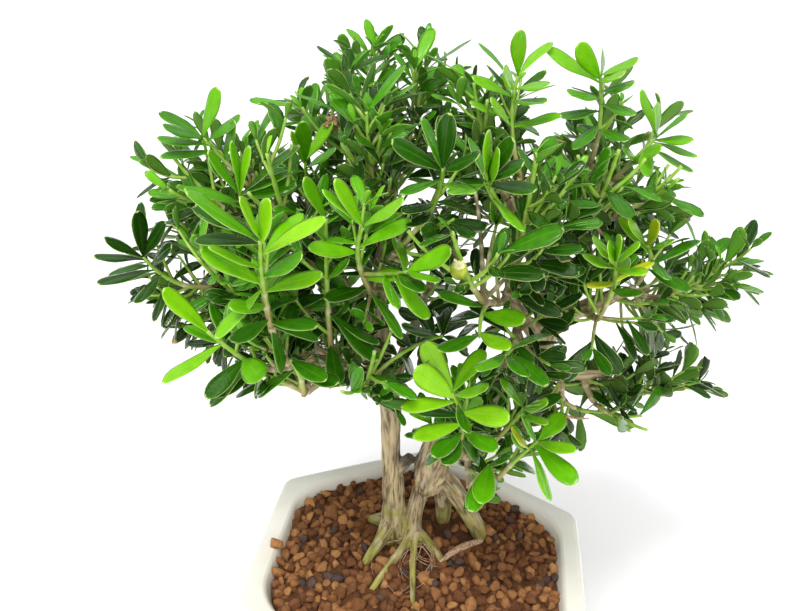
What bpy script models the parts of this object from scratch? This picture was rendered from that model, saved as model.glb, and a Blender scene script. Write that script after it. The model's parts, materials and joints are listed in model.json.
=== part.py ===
"""Potted boxwood: a small two-trunked boxwood in a hexagonal glazed pot of baked-clay granules.

Lengths are written in millimetres and turned to metres where a mesh is made. The origin is the
centre of the pot's foot on the table, +Z is up, and one corner of the pot points along +Y.
"""

import math
import random

import bmesh
import bpy
from mathutils import Matrix, Vector
from mathutils.bvhtree import BVHTree

MM = 0.001
GAP = 0.3
UP = Vector((0, 0, 1))

# Pot profile rings: distance from the centre to a corner before it is rounded, rounding, height
POT_OUTSIDE = (
    (70.0, 8.0, 0.0), (70.6, 8.0, 3.0), (74.0, 9.0, 14.0), (83.5, 9.0, 55.0), (88.6, 9.0, 58.0),
    (90.0, 9.0, 60.5), (90.0, 9.0, 67.0), (89.0, 9.0, 69.1), (86.6, 9.0, 70.0), (79.6, 28.0, 70.0),
    (78.0, 28.0, 68.6))
POT_INSIDE = ((57.0, 18.0, 9.0), (62.0, 20.0, 13.0), (76.0, 28.0, 64.0))
POT_UNDER = ((61.5, 6.0, 3.0), (62.5, 6.0, 0.0))
DRAIN_RADIUS = 7.0
CORNER_STEPS = 4

# Soil
SOIL_AT_WALL = 64.5
SOIL_MOUND = 4.0
MOUND_CENTRE = (-3.0, 10.0)
MOUND_REACH = 46.0
SOIL_COVERS = 156.0
FILLING_TOP = 84.0
RELIEF_BOTTOM = -20.0
GRANULE = 10.8
GRANULE_RISE = 2.8
GRANULE_WANDER = 0.16
HOLE_GAP = 0.45
HOLES_UP_TO = 78.0

# Leaves and shoots
LEAF_LENGTH = 20.0
LEAF_RATIO = 0.36
LEAF_THICK = 0.9
LEAF_ARCH = 0.16
LEAF_COLLAR = 1.4
STALK = 0.16
STALK_HALF = 0.7
NODE_STEP = 9.0
MAIN_PAIRS = 3
SIDE_PAIRS = 1
SHOOT_REACH = 46.0
SHOOT_RADIUS = 1.2
SHOOT_TIP_RADIUS = 0.9
SHOOT_PART = 0.72
SHOOT_BOW = 0.2
FORK_SHARE = 0.42
FORK_COLLAR = 1.0
SIDE_LENGTHS = (0.62, 0.5)
SPREAD = 38
SPREAD_BY_PAIR = 12
TWIG_RADIUS = 1.4
TWIG_MOST = 2.2
TWIG_END = 1.5
SHOOT_TRIES = 24
LEAF_TRIES = 20

# Trunks, limbs and roots: name, sides, flute depth, then x, y, z and radius of each point
TRUNKS = (
    ("left_trunk", 8, 0.08, (
        (-15, 14, 48, 6.4), (-15, 13, 68, 6.6), (-15, 12, 82, 5.7), (-16, 12, 97, 5.4),
        (-17, 12, 114, 4.6), (-18, 12, 131, 4.5), (-20, 12, 148, 5.0), (-28, 9, 172, 4.6),
        (-38, 4, 196, 3.8), (-48, 0, 214, 2.6))),
    ("right_trunk", 8, 0.10, (
        (1, 14, 98, 6.0), (1, 14, 108, 8.0), (3, 14, 118, 7.8), (6, 15, 129, 6.6),
        (13, 18, 142, 6.2), (28, 21, 154, 6.0), (40, 22, 166, 5.8), (45, 21, 182, 5.6),
        (46, 20, 202, 4.8), (42, 18, 226, 3.8), (33, 20, 248, 2.7))),
)
ROOTS = (
    ("left_leg", 7, 0.08, ((-5, 14, 50, 4.4), (-5, 13, 70, 4.6), (-4, 12, 90, 4.1), (0, 13, 110, 4.6))),
    ("right_leg", 7, 0.08, ((3, 14, 112, 4.4), (12, 16, 100, 4.6), (20, 19, 86, 4.4), (27, 22, 70, 4.0),
                            (31, 25, 54, 2.6))),
    ("back_leg", 6, 0.0, ((4, 16, 108, 4.4), (8, 22, 88, 4.4), (9, 30, 68, 3.8), (8, 36, 54, 2.4))),
    ("left_root", 6, 0.0, ((-16, 11, 80, 4.4), (-20, 4, 71, 3.2), (-25, -5, 66, 2.2), (-29, -12, 58, 1.4))),
    ("left_back_root", 6, 0.0, ((-14, 13, 78, 4.4), (-23, 22, 69, 3.4), (-33, 30, 60, 1.8))),
    ("joining_root", 5, 0.0, ((-15, 13, 70, 3.6), (-9, 9, 69, 3.0), (-4, 10, 72, 3.2))),
    ("mossy_root", 5, 0.0, ((-5, 12, 77, 2.6), (-8, 3, 71, 2.2), (-13, -8, 69, 2.0), (-19, -21, 66, 1.6),
                            (-22, -27, 60, 1.2))),
    ("straight_root", 5, 0.0, ((-4, 12, 76, 2.2), (-3, 2, 71, 1.9), (-2, -10, 69.5, 1.6), (0, -26, 67.5, 1.4),
                               (1, -33, 61, 1.0))),
    ("short_root", 5, 0.0, ((-4, 13, 75, 3.0), (3, 8, 71, 2.6), (9, 3, 68, 2.2), (13, 0, 61, 1.6))),
)
LIMB_SIDES = 5
LIMBS = {
    "front_left": ((-20, 11, 152, 4.2), (-34, -6, 172, 3.2), (-46, -26, 186, 2.5), (-52, -38, 190, 2.0)),
    "far_left": ((-31, 8, 180, 4.0), (-56, 10, 193, 2.9), (-80, 6, 203, 2.0)),
    "top_left": ((-42, 2, 204, 2.9), (-54, 2, 220, 2.5), (-68, 2, 236, 2.0)),
    "back_left": ((-29, 8, 175, 3.8), (-45, 28, 196, 2.9), (-58, 44, 211, 2.1)),
    "back_top": ((-22, 11, 154, 4.0), (-27, 26, 192, 3.2), (-33, 43, 226, 2.4), (-35, 50, 240, 2.0)),
    "centre_left": ((-30, 8, 180, 3.4), (-26, 0, 206, 2.7), (-22, -10, 234, 2.0)),
    "centre_top": ((46, 20, 204, 3.8), (34, 14, 226, 3.0), (24, 12, 246, 2.2)),
    "centre_front": ((44, 21, 180, 3.6), (34, 4, 200, 2.9), (26, -12, 216, 2.0)),
    "top_right": ((43, 18, 212, 3.2), (54, 26, 232, 2.7), (60, 30, 246, 2.0)),
    "mid_right": ((46, 20, 192, 3.8), (62, 17, 200, 2.8), (78, 24, 207, 2.0)),
    "low_right": ((38, 22, 164, 3.6), (58, 26, 162, 2.7), (78, 34, 160, 2.0)),
    "low_front": ((5, 15, 122, 3.8), (14, 0, 130, 2.8), (18, -14, 140, 2.2), (18, -20, 146, 1.9)),
    "far_right": ((45, 21, 184, 3.6), (62, 36, 192, 2.8), (78, 48, 196, 2.0)),
    "back_right": ((46, 20, 196, 3.6), (50, 36, 208, 2.8), (54, 50, 222, 2.0)),
    "low_back": ((30, 21, 156, 3.6), (34, 40, 166, 2.8), (36, 56, 174, 2.0)),
    "low_left": ((-20, 12, 148, 3.8), (-42, 24, 154, 2.8), (-62, 34, 160, 2.0)),
    "mid_back": ((-20, 12, 150, 3.8), (-14, 32, 168, 2.8), (-10, 48, 180, 2.0)),
}

# Sprays: name, limb, how far along the limb its twig leaves (0 to 1), and the tip of its main shoot
SPRAYS = (
    ("front_left_shoot", "front_left", 1.0, (-54, -72, 258)),
    ("front_left_side", "front_left", 0.9, (-80, -56, 212)),
    ("front_left_low", "front_left", 0.8, (-44, -72, 196)),
    ("front_left_under", "front_left", 0.6, (-70, -42, 176)),
    ("front_mid_shoot", "centre_left", 0.55, (-22, -58, 254)),
    ("front_mid_left", "front_left", 0.5, (-40, -46, 234)),
    ("front_mid_low", "front_left", 0.35, (-18, -50, 206)),
    ("far_left_tip", "far_left", 1.0, (-116, -12, 220)),
    ("far_left_low", "far_left", 0.85, (-116, 6, 188)),
    ("far_left_back", "far_left", 0.7, (-112, 32, 212)),
    ("far_left_up", "far_left", 0.75, (-108, 10, 244)),
    ("far_left_front", "far_left", 0.45, (-88, -30, 226)),
    ("top_left_peak", "top_left", 1.0, (-90, 2, 272)),
    ("top_left_outer", "top_left", 0.75, (-102, -12, 258)),
    ("top_left_front", "top_left", 0.6, (-84, -38, 254)),
    ("top_left_inner", "top_left", 0.45, (-60, -32, 268)),
    ("top_left_back", "back_left", 0.6, (-74, 34, 268)),
    ("back_left_outer", "back_left", 0.8, (-92, 54, 236)),
    ("back_left_low", "back_left", 0.9, (-80, 70, 220)),
    ("back_top_peak", "back_top", 1.0, (-42, 68, 288)),
    ("back_top_left", "back_top", 0.75, (-66, 66, 266)),
    ("back_top_right", "back_top", 0.8, (-16, 62, 286)),
    ("back_top_front", "back_top", 0.6, (-48, 28, 280)),
    ("back_top_low", "back_top", 0.5, (-34, 66, 242)),
    ("centre_left_peak", "centre_left", 1.0, (-30, -10, 280)),
    ("centre_left_front", "centre_left", 0.8, (-6, -44, 272)),
    ("centre_peak", "centre_top", 1.0, (6, 18, 288)),
    ("centre_peak_right", "centre_top", 0.8, (28, 24, 290)),
    ("centre_back", "centre_top", 0.7, (10, 52, 276)),
    ("centre_front_peak", "centre_front", 1.0, (30, -36, 274)),
    ("centre_front_tip", "centre_front", 0.9, (6, -60, 256)),
    ("centre_front_low", "centre_front", 0.6, (30, -52, 228)),
    ("top_right_peak", "top_right", 1.0, (50, 36, 288)),
    ("top_right_outer", "top_right", 0.9, (76, 48, 276)),
    ("top_right_front", "top_right", 0.5, (60, -4, 272)),
    ("top_right_side", "top_right", 0.7, (88, 20, 262)),
    ("mid_right_front", "mid_right", 0.45, (68, -26, 236)),
    ("mid_right_up", "mid_right", 0.7, (94, 20, 240)),
    ("mid_right_tip", "mid_right", 1.0, (116, 30, 220)),
    ("low_right_tip", "low_right", 1.0, (116, 54, 150)),
    ("low_right_front", "low_right", 0.7, (94, 10, 148)),
    ("low_right_under", "low_right", 0.45, (78, 44, 132)),
    ("far_right_tip", "far_right", 1.0, (114, 60, 194)),
    ("low_front_up", "low_front", 1.0, (6, -46, 194)),
    ("low_front_down", "low_front", 0.85, (26, -46, 132)),
    ("low_front_right", "low_front", 0.6, (58, -26, 150)),
    ("low_front_side", "low_front", 0.3, (46, -18, 184)),
    ("back_right_peak", "back_right", 1.0, (64, 70, 258)),
    ("back_right_side", "back_right", 0.6, (88, 70, 228)),
    ("low_back_right", "low_back", 1.0, (56, 74, 194)),
    ("low_left_tip", "low_left", 1.0, (-104, 46, 170)),
    ("low_left_back", "low_left", 0.6, (-66, 68, 164)),
    ("mid_back_tip", "mid_back", 1.0, (-6, 72.5, 212)),
)

# Seed heads: name, radius, the spray that bears it, its place up the main shoot and its turn round it
HEADS = (
    ("seed_head_left", 3.2, "back_top_front", 0.72, 200),
    ("seed_head_front", 3.4, "low_front_side", 0.24, 250),
    ("seed_head_right", 3.0, "centre_front_peak", 0.72, 40),
)
CAPSULE = ("seed_capsule", 3.0, "centre_front_tip", 0.72, 200)
HEAD_KNOB = 1.12
HEAD_HOLLOW = 0.86


def colour(red, green, blue):
    """Linear colour from 8-bit sRGB values."""
    def channel(value):
        share = value / 255
        return share / 12.92 if share <= 0.04045 else ((share + 0.055) / 1.055) ** 2.4
    return (channel(red), channel(green), channel(blue), 1.0)


def material(name, base, roughness):
    made = bpy.data.materials.new(name)
    made.use_nodes = True
    shader = made.node_tree.nodes["Principled BSDF"]
    shader.inputs["Base Color"].default_value = base
    shader.inputs["Roughness"].default_value = roughness
    shader.inputs["Metallic"].default_value = 0.0
    return made


def add_object(name, mesh, finish=None):
    made = bpy.data.objects.new(name, mesh)
    bpy.context.scene.collection.objects.link(made)
    if finish:
        mesh.materials.append(finish)
    return made


def mesh_from(name, points, faces):
    """Mesh in metres from points in millimetres."""
    mesh = bpy.data.meshes.new(name)
    mesh.from_pydata([Vector(point) * MM for point in points], [], faces)
    mesh.update()
    return mesh


def loft(rings, capped=True):
    """Points and faces of a skin over rings of equal length, capped at the first and last unless open."""
    count = len(rings[0])
    points = [point for ring in rings for point in ring]
    faces = []
    for level in range(len(rings) - 1):
        low, high = level * count, (level + 1) * count
        for i in range(count):
            j = (i + 1) % count
            faces.append((low + i, low + j, high + j, high + i))
    if capped:
        last = (len(rings) - 1) * count
        faces.append(tuple(reversed(range(count))))
        faces.append(tuple(range(last, last + count)))
    return points, faces


def hexagon(radius, corner, height):
    """Ring of a hexagon with rounded corners; radius is to the corner before rounding."""
    centre = radius - corner / math.cos(math.radians(30))
    ring = []
    for vertex in range(6):
        angle = math.radians(90 + 60 * vertex)
        middle = Vector((math.cos(angle), math.sin(angle), 0)) * centre
        for step in range(CORNER_STEPS):
            turn = angle + math.radians(-30 + 60 * step / (CORNER_STEPS - 1))
            ring.append(middle + Vector((math.cos(turn), math.sin(turn), 0)) * corner + UP * height)
    return ring


def circle(radius, height):
    """Ring with one point for each point of a hexagon ring, at the same angles."""
    return [Vector((point.x, point.y, 0)).normalized() * radius + UP * height for point in hexagon(2, 1, 0)]


def pot_inside(clearance=0.0):
    """Rings of the pot's inner wall from the floor up, moved in by a clearance."""
    shrink = clearance / math.cos(math.radians(30))
    floor = POT_INSIDE[0][2]
    return [
        hexagon(radius - shrink, corner, height + (clearance if height == floor else 0.0))
        for radius, corner, height in POT_INSIDE
    ]


def build_pot(finish):
    """The pot as one closed skin: up the outside, over the rim, down the inside and out of the drain."""
    floor, foot = POT_INSIDE[0][2], POT_UNDER[0][2]
    rings = [hexagon(*ring) for ring in POT_OUTSIDE]
    rings += list(reversed(pot_inside()))
    rings += [circle(DRAIN_RADIUS, floor), circle(DRAIN_RADIUS, foot)]
    rings += [hexagon(*ring) for ring in POT_UNDER]
    mesh = mesh_from("pot", *loft(rings + [rings[0]], capped=False))
    weld(mesh)
    return add_object("pot", mesh, finish)


def weld(mesh):
    """Joins points that coincide and turns the faces outwards."""
    shape = bmesh.new()
    shape.from_mesh(mesh)
    bmesh.ops.remove_doubles(shape, verts=shape.verts, dist=1e-6)
    bmesh.ops.recalc_face_normals(shape, faces=shape.faces)
    shape.to_mesh(mesh)
    shape.free()


def boolean(target, others, operation):
    """Applies one Boolean of a collection of helpers to an object, then removes the helpers."""
    group = bpy.data.collections.new("helpers")
    bpy.context.scene.collection.children.link(group)
    for other in others:
        bpy.context.scene.collection.objects.unlink(other)
        group.objects.link(other)
    cut = target.modifiers.new("join", "BOOLEAN")
    cut.operation = operation
    cut.operand_type = "COLLECTION"
    cut.collection = group
    cut.solver = "EXACT"
    graph = bpy.context.evaluated_depsgraph_get()
    result = bpy.data.meshes.new_from_object(target.evaluated_get(graph))
    target.modifiers.clear()
    target.data = result
    for other in others:
        bpy.data.objects.remove(other)
    bpy.data.collections.remove(group)
    return target


def across(direction, hint=UP):
    """A unit vector square to a direction, on the side of a hint."""
    side = hint - direction * hint.dot(direction)
    if side.length < 1e-3:
        side = Vector((1, 0, 0)) - direction * direction.x
    return side.normalized()


def tube(path, radii, sides, flute=0.0):
    """Points and faces of a closed tube along a path, with a fluted cross-section if asked."""
    rings = []
    normal = None
    for i, point in enumerate(path):
        ahead = path[min(i + 1, len(path) - 1)] - path[max(i - 1, 0)]
        ahead.normalize()
        normal = across(ahead, Vector((1, 0.3, 0)) if normal is None else normal)
        second = ahead.cross(normal)
        ring = []
        for k in range(sides):
            angle = 2 * math.pi * k / sides
            reach = radii[i] * (1 + flute * math.cos(3 * angle + 0.35 * i))
            ring.append(point + (normal * math.cos(angle) + second * math.sin(angle)) * reach)
        rings.append(ring)
    return loft(rings)


def limb_point(limb, share):
    """Point on a limb's line at a share of its length, and the radius there."""
    rows = LIMBS[limb]
    points = [Vector(row[:3]) for row in rows]
    lengths = [(b - a).length for a, b in zip(points, points[1:])]
    left = share * sum(lengths)
    for i, length in enumerate(lengths):
        if left <= length or i == len(lengths) - 1:
            t = min(left / length, 1.0)
            radius = rows[i][3] + (rows[i + 1][3] - rows[i][3]) * t
            return points[i].lerp(points[i + 1], t), radius
        left -= length


class Space:
    """What already stands in the crown, by owner, so that a new blade can be set clear of it."""

    def __init__(self):
        self.shapes = []

    def add(self, owner, points, faces):
        self.shapes.append((owner, *box(points), BVHTree.FromPolygons(points, faces)))

    def clear(self, points, faces, skip=()):
        low, high = box(points)
        tree = None
        for owner, other_low, other_high, other in self.shapes:
            if owner in skip or any(low[k] > other_high[k] or high[k] < other_low[k] for k in range(3)):
                continue
            tree = tree or BVHTree.FromPolygons(points, faces)
            if tree.overlap(other):
                return False
        return True


def box(points):
    """Lowest and highest corner of some points."""
    return [min(p[k] for p in points) for k in range(3)], [max(p[k] for p in points) for k in range(3)]


class Curve:
    """A bent line from start to end with one control point, read by its share from 0 to 1."""

    def __init__(self, start, control, end):
        self.start, self.control, self.end = start, control, end
        self.length = ((end - start).length + (control - start).length + (end - control).length) / 2

    def point(self, t):
        return self.start * (1 - t) ** 2 + self.control * (2 * t * (1 - t)) + self.end * t ** 2

    def tangent(self, t):
        return ((self.control - self.start) * (1 - t) + (self.end - self.control) * t).normalized()


class Spray:
    """One closed skin of square shoots whose side faces grow out into side shoots and leaves."""

    def __init__(self, name):
        self.name = name
        self.points = []
        self.faces = []

    def ring(self, curve, share, normal, radius):
        """A square ring across the curve; face k of the shoot lies at k quarter turns from the normal."""
        tangent = curve.tangent(share)
        normal = across(tangent, normal)
        second = tangent.cross(normal)
        first = len(self.points)
        for k in range(4):
            angle = math.radians(-45 + 90 * k)
            spoke = normal * math.cos(angle) + second * math.sin(angle)
            self.points.append(curve.point(share) + spoke * radius)
        return tuple(range(first, first + 4)), normal

    def grow(self, start, normal, curve, stops, radii):
        """Skins a shoot from a starting ring; each stop is its share of the curve and the faces left open.

        The faces left open lie between a stop and the one before it. They are returned in order.
        """
        openings = []
        below = start
        for i, (share, left_open) in enumerate(stops):
            radius = radii[0] + (radii[1] - radii[0]) * share
            above, normal = self.ring(curve, share, normal, radius)
            for k in range(4):
                j = (k + 1) % 4
                quad = (below[k], below[j], above[j], above[k])
                if k in left_open:
                    outward = Matrix.Rotation(math.pi / 2 * k, 3, curve.tangent(share)) @ normal
                    openings.append((quad, outward, curve.tangent(share)))
                else:
                    self.faces.append(quad)
            below = above
        self.faces.append(below)
        return openings

    def leaf(self, quad, outline):
        """Joins a blade's outline and its two ridge points to the four corners of an opening."""
        first = len(self.points)
        self.points += outline
        self.faces += leaf_faces(quad, range(first, first + 7))


def leaf_faces(quad, outline):
    """Faces of a leaf from the corners of its opening to its outline, upper and lower ridge points."""
    a, b, c, d = quad
    l1, l2, tip, r2, r1, top, low = outline
    upper = (d, l1, l2, tip, r2, r1, c)
    lower = (a, l1, l2, tip, r2, r1, b)
    faces = [(upper[i], upper[(i + 1) % 7], top) for i in range(7)]
    faces += [(lower[(i + 1) % 7], lower[i], low) for i in range(7)]
    return faces + [(a, l1, d), (c, r1, b)]


def leaf_frame(side, tangent, spread, roll, wander):
    """Direction and upper side of a leaf that leaves a shoot at an angle to it."""
    side = Matrix.Rotation(wander, 3, tangent) @ side
    along = (tangent * math.cos(spread) + side * math.sin(spread)).normalized()
    face = (tangent * math.sin(spread) - side * math.cos(spread)).normalized()
    face = across(along, face + UP * 0.45)
    return along, Matrix.Rotation(roll, 3, along) @ face


def blade(root, along, face, length, swell=0.0):
    """Spoon-shaped blade: its outline, then a ridge point above and one below, arched to a round tip."""
    wide = along.cross(face)
    half = length * LEAF_RATIO / 2 + swell
    thick = LEAF_THICK / 2 + swell

    def at(share, side, lift):
        return root + along * (length * share) + wide * side + face * (lift - LEAF_ARCH * length * share ** 2)

    outline = ((0.45, 0.72), (0.82, 0.95), (1.0 + swell / length, 0.0), (0.82, -0.95), (0.45, -0.72))
    return [at(share, half * side, 0) for share, side in outline] + [at(0.62, 0, thick), at(0.62, 0, -thick)]


def swollen_blade(root, along, face, length):
    """A blade grown by the gap and trimmed near its root, as a body of its own for clearance tests."""
    start = root + along * length * STALK
    rise = face * STALK_HALF
    points = [start + rise, start - rise] + blade(root, along, face, length, GAP)
    upper, lower = (0, 2, 3, 4, 5, 6), (1, 2, 3, 4, 5, 6)
    faces = [(upper[i], upper[(i + 1) % 6], 7) for i in range(6)]
    faces += [(lower[(i + 1) % 6], lower[i], 8) for i in range(6)]
    return points, faces + [(0, 1, 2), (1, 0, 6)]


def spray_base(root, tip):
    """Where a spray's twig ends and its green shoot begins, and the direction of both there."""
    span = tip - root
    aim = (span.normalized() * 0.8 + UP * 0.25).normalized()
    base = tip - aim * min(SHOOT_REACH, span.length * SHOOT_PART)
    return base, (aim - UP * SHOOT_BOW).normalized()


def shoot_curves(draw, base, aim, tip):
    """Curves of a spray's main shoot and of the two side shoots that leave it opposite each other."""
    length = (tip - base).length
    main = Curve(base, base + aim * length * 0.5, tip)
    normal = Matrix.Rotation(draw.uniform(0, math.pi), 3, aim) @ across(aim)
    tangent = main.tangent(FORK_SHARE)
    start = main.point(FORK_SHARE)
    sides = []
    for sign, share in zip((1, -1), SIDE_LENGTHS):
        side = across(tangent, normal) * sign
        away = (tangent * 0.62 + side * 0.78).normalized()
        long = length * share * draw.uniform(0.9, 1.15)
        lift = (away * 0.8 + UP * 0.2 + tangent * 0.15).normalized()
        sides.append(Curve(start + side * SHOOT_RADIUS * 0.7, start + away * long * 0.5, start + lift * long))
    return main, normal, sides


def curve_tube(curve, radius, first):
    """Plain square tube round a curve from a share of it to its end, for clearance tests."""
    shares = (first, (1 + first) / 2, 1.0)
    return tube([curve.point(t) for t in shares], [radius] * len(shares), 4)


def plan_spray(index, name, limb, share, tip, space):
    """Turns the spray's shoots until they stand clear of the wood and of the sprays before it."""
    draw = random.Random(index)
    base, aim = spray_base(limb_point(limb, share)[0], tip)
    for _ in range(SHOOT_TRIES):
        main, normal, sides = shoot_curves(draw, base + aim * GAP, aim, tip)
        tests = [curve_tube(main, SHOOT_RADIUS + GAP, 0.12)]
        tests += [curve_tube(side, SHOOT_RADIUS + GAP, 0.2) for side in sides]
        if all(space.clear(*test) for test in tests):
            break
    for curve in (main, *sides):
        space.add(shoot_owner(name), *curve_tube(curve, SHOOT_RADIUS, 0.0))
    return index, name, main, normal, sides


def shoot_owner(name):
    return name + " shoots"


def pair_stops(curve, pairs, first_face):
    """Stops of a shoot that holds pairs of leaves at its tip, each pair turned a quarter from the last."""
    collar = LEAF_COLLAR / curve.length
    step = min(NODE_STEP / curve.length, 0.8 / (pairs + 0.5))
    stops = []
    for pair in reversed(range(pairs)):
        top = 1.0 - pair * step
        open_faces = (0, 2) if (pair + first_face) % 2 == 0 else (1, 3)
        stops += [(top - collar, ()), (top, open_faces)]
    return stops


def build_spray(plan, space, finish):
    """Skins one spray: its main shoot, the two side shoots from its fork, then every leaf."""
    index, name, main, normal, sides = plan
    draw = random.Random(1000 + index)
    spray = Spray(name)
    base, normal = spray.ring(main, 0.0, normal, SHOOT_RADIUS)
    spray.faces.append(tuple(reversed(base)))
    fork = FORK_COLLAR / main.length
    stops = [(FORK_SHARE - fork, ()), (FORK_SHARE + fork, (0, 2))] + pair_stops(main, MAIN_PAIRS, MAIN_PAIRS)
    forks = spray.grow(base, normal, main, stops, (SHOOT_RADIUS, SHOOT_TIP_RADIUS))
    leaves = [(opening, MAIN_PAIRS - 1 - i // 2) for i, opening in enumerate(forks[2:])]
    for side, (quad, _, tangent) in zip(sides, forks):
        found = spray.grow(quad, -tangent, side, pair_stops(side, SIDE_PAIRS, 0),
                           (SHOOT_RADIUS * 0.9, SHOOT_TIP_RADIUS))
        leaves += [(opening, SIDE_PAIRS - 1 - i // 2) for i, opening in enumerate(found)]
    for (quad, outward, tangent), pair in leaves:
        place_leaf(draw, spray, quad, outward, tangent, pair, space)
    add_object(name, mesh_from(name, spray.points, spray.faces), finish)


def place_leaf(draw, spray, quad, outward, tangent, pair, space):
    """Turns and tilts a leaf until it stands clear of all that is there; else its opening is closed flat."""
    corners = [spray.points[i] for i in quad]
    root = sum(corners, Vector()) / 4
    size = LEAF_LENGTH * draw.uniform(0.86, 1.12)
    faces = leaf_faces((0, 1, 2, 3), range(4, 11)) + [(3, 2, 1, 0)]
    for attempt in range(LEAF_TRIES):
        loose = attempt * 2.4
        along, face = leaf_frame(
            outward,
            tangent,
            math.radians(SPREAD + SPREAD_BY_PAIR * pair + draw.uniform(-loose, loose) * 0.7),
            math.radians(draw.uniform(-10 - loose, 10 + loose) * 0.7),
            math.radians(draw.uniform(-loose, loose)),
        )
        outline = blade(root, along, face, size)
        if space.clear(*swollen_blade(root, along, face, size)) and space.clear(
            corners + outline, faces, skip=(shoot_owner(spray.name),)
        ):
            space.add(spray.name, corners + outline, faces)
            spray.leaf(quad, outline)
            return
        size *= 0.985
    spray.faces.append(quad)


def build_wood(finish, twigs, space):
    """Both trunks, their roots, the limbs and the twigs, joined into one piece that grew as one."""
    pieces = []
    for name, sides, flute, rows in TRUNKS + ROOTS:
        pieces.append((name, tube([Vector(row[:3]) for row in rows], [row[3] for row in rows], sides, flute)))
    for name, rows in LIMBS.items():
        pieces.append((name, tube([Vector(row[:3]) for row in rows], [row[3] for row in rows], LIMB_SIDES)))
    for name, path, radii in twigs:
        pieces.append((name + "_twig", tube(path, radii, 3)))
    for name, (points, faces) in pieces:
        space.add("trunks_and_branches", points, faces)
    made = [add_object(name, mesh_from(name, *shape)) for name, shape in pieces]
    wood = boolean(made[0], made[1:], "UNION")
    wood.name = "trunks_and_branches"
    wood.data.materials.clear()
    wood.data.materials.append(finish)
    return wood


def twig_of(name, limb, share, tip):
    """The woody twig from a limb to the base of a spray, with a last short stretch straight at it."""
    root, radius = limb_point(limb, share)
    base, aim = spray_base(root, Vector(tip))
    span = (base - root).length
    path = [root, root.lerp(base, 0.5) - aim * span * 0.12, base - aim * TWIG_END, base]
    first = min(radius * 0.8, TWIG_MOST)
    return name, path, [first, (first + TWIG_RADIUS) / 2, TWIG_RADIUS, TWIG_RADIUS]


def build_head(name, radius, curve, share, turn, knobs, finish, space):
    """A seed head against the side of a shoot; its knobs are how far its points lie from the centre."""
    tangent = curve.tangent(share)
    away = Matrix.Rotation(math.radians(turn), 3, tangent) @ across(tangent)
    centre = curve.point(share) + away * (SHOOT_RADIUS + GAP + radius * HEAD_KNOB)
    shape = bmesh.new()
    bmesh.ops.create_icosphere(shape, subdivisions=2, radius=radius)
    facing = away.to_track_quat("Z", "Y")
    points = [centre + facing @ (vert.co * knobs[i % len(knobs)]) for i, vert in enumerate(shape.verts)]
    faces = [[vert.index for vert in face.verts] for face in shape.faces]
    shape.free()
    space.add(name, points, faces)
    add_object(name, mesh_from(name, points, faces), finish)


def soil_height(x, y):
    """Height of the soil before its granules: it mounds up towards the trunks."""
    away = math.hypot(x - MOUND_CENTRE[0], y - MOUND_CENTRE[1])
    return SOIL_AT_WALL + SOIL_MOUND * math.exp(-(away / MOUND_REACH) ** 2)


def granule_sheet():
    """Points and faces of a sheet with a peak for each granule, in a honeycomb of low points."""
    draw = random.Random(7)
    step = GRANULE / math.sqrt(3)
    reach = int(SOIL_COVERS / step / 2) + 2
    wander = step * GRANULE_WANDER
    points, index = [], {}
    for row in range(-reach, reach + 1):
        for column in range(-reach, reach + 1):
            x = (column + 0.5 * (row % 2)) * step
            y = row * step * math.sqrt(3) / 2
            is_peak = (column - row % 2) % 3 == 0
            lift = GRANULE_RISE * (draw.uniform(0.55, 1.0) if is_peak else 0.0)
            index[row, column] = len(points)
            points.append(Vector((x + draw.uniform(-wander, wander), y + draw.uniform(-wander, wander),
                                  soil_height(x, y) + lift - GRANULE_RISE / 2)))
    faces = []
    for row in range(-reach, reach):
        for column in range(-reach, reach):
            a, b = index[row, column], index[row, column + 1]
            c, d = index[row + 1, column], index[row + 1, column + 1]
            faces += [(a, b, c), (b, d, c)] if row % 2 == 0 else [(a, d, c), (a, b, d)]
    return points, faces


def deep_sheet(name, points, faces, bottom):
    """An object with a sheet for its top, sides straight down from its edge and a flat bottom."""
    mesh = mesh_from(name, points, faces)
    shape = bmesh.new()
    shape.from_mesh(mesh)
    walls = bmesh.ops.extrude_edge_only(shape, edges=[edge for edge in shape.edges if edge.is_boundary])
    for item in walls["geom"]:
        if isinstance(item, bmesh.types.BMVert):
            item.co.z = bottom * MM
    bmesh.ops.holes_fill(shape, edges=[edge for edge in shape.edges if edge.is_boundary], sides=0)
    bmesh.ops.recalc_face_normals(shape, faces=shape.faces)
    shape.to_mesh(mesh)
    shape.free()
    return add_object(name, mesh)


def root_holes():
    """A cutter a little larger than each trunk and root, along the part of it near the soil."""
    holes = []
    for _, sides, flute, rows in TRUNKS + ROOTS:
        buried = [row for i, row in enumerate(rows)
                  if min(near[2] for near in rows[max(i - 1, 0):i + 2]) < HOLES_UP_TO]
        if len(buried) < 2:
            continue
        path = [Vector(row[:3]) for row in buried]
        path[-1] += (path[-1] - path[-2]).normalized() * HOLE_GAP
        path[0] += (path[0] - path[1]).normalized() * HOLE_GAP
        radii = [row[3] + HOLE_GAP for row in buried]
        holes.append(add_object("hole", mesh_from("hole", *tube(path, radii, sides, flute))))
    return holes


def build_soil(finish):
    """The filling of the pot: granules on top, and room for the trunks and roots that enter it."""
    rings = pot_inside(GAP)
    rings.append([Vector((point.x, point.y, FILLING_TOP)) for point in rings[-1]])
    filling = mesh_from("soil", *loft(rings))
    weld(filling)
    relief = deep_sheet("relief", *granule_sheet(), RELIEF_BOTTOM)
    soil = boolean(add_object("soil", filling), [relief], "INTERSECT")
    boolean(soil, root_holes(), "DIFFERENCE")
    soil.data.materials.clear()
    soil.data.materials.append(finish)


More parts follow.
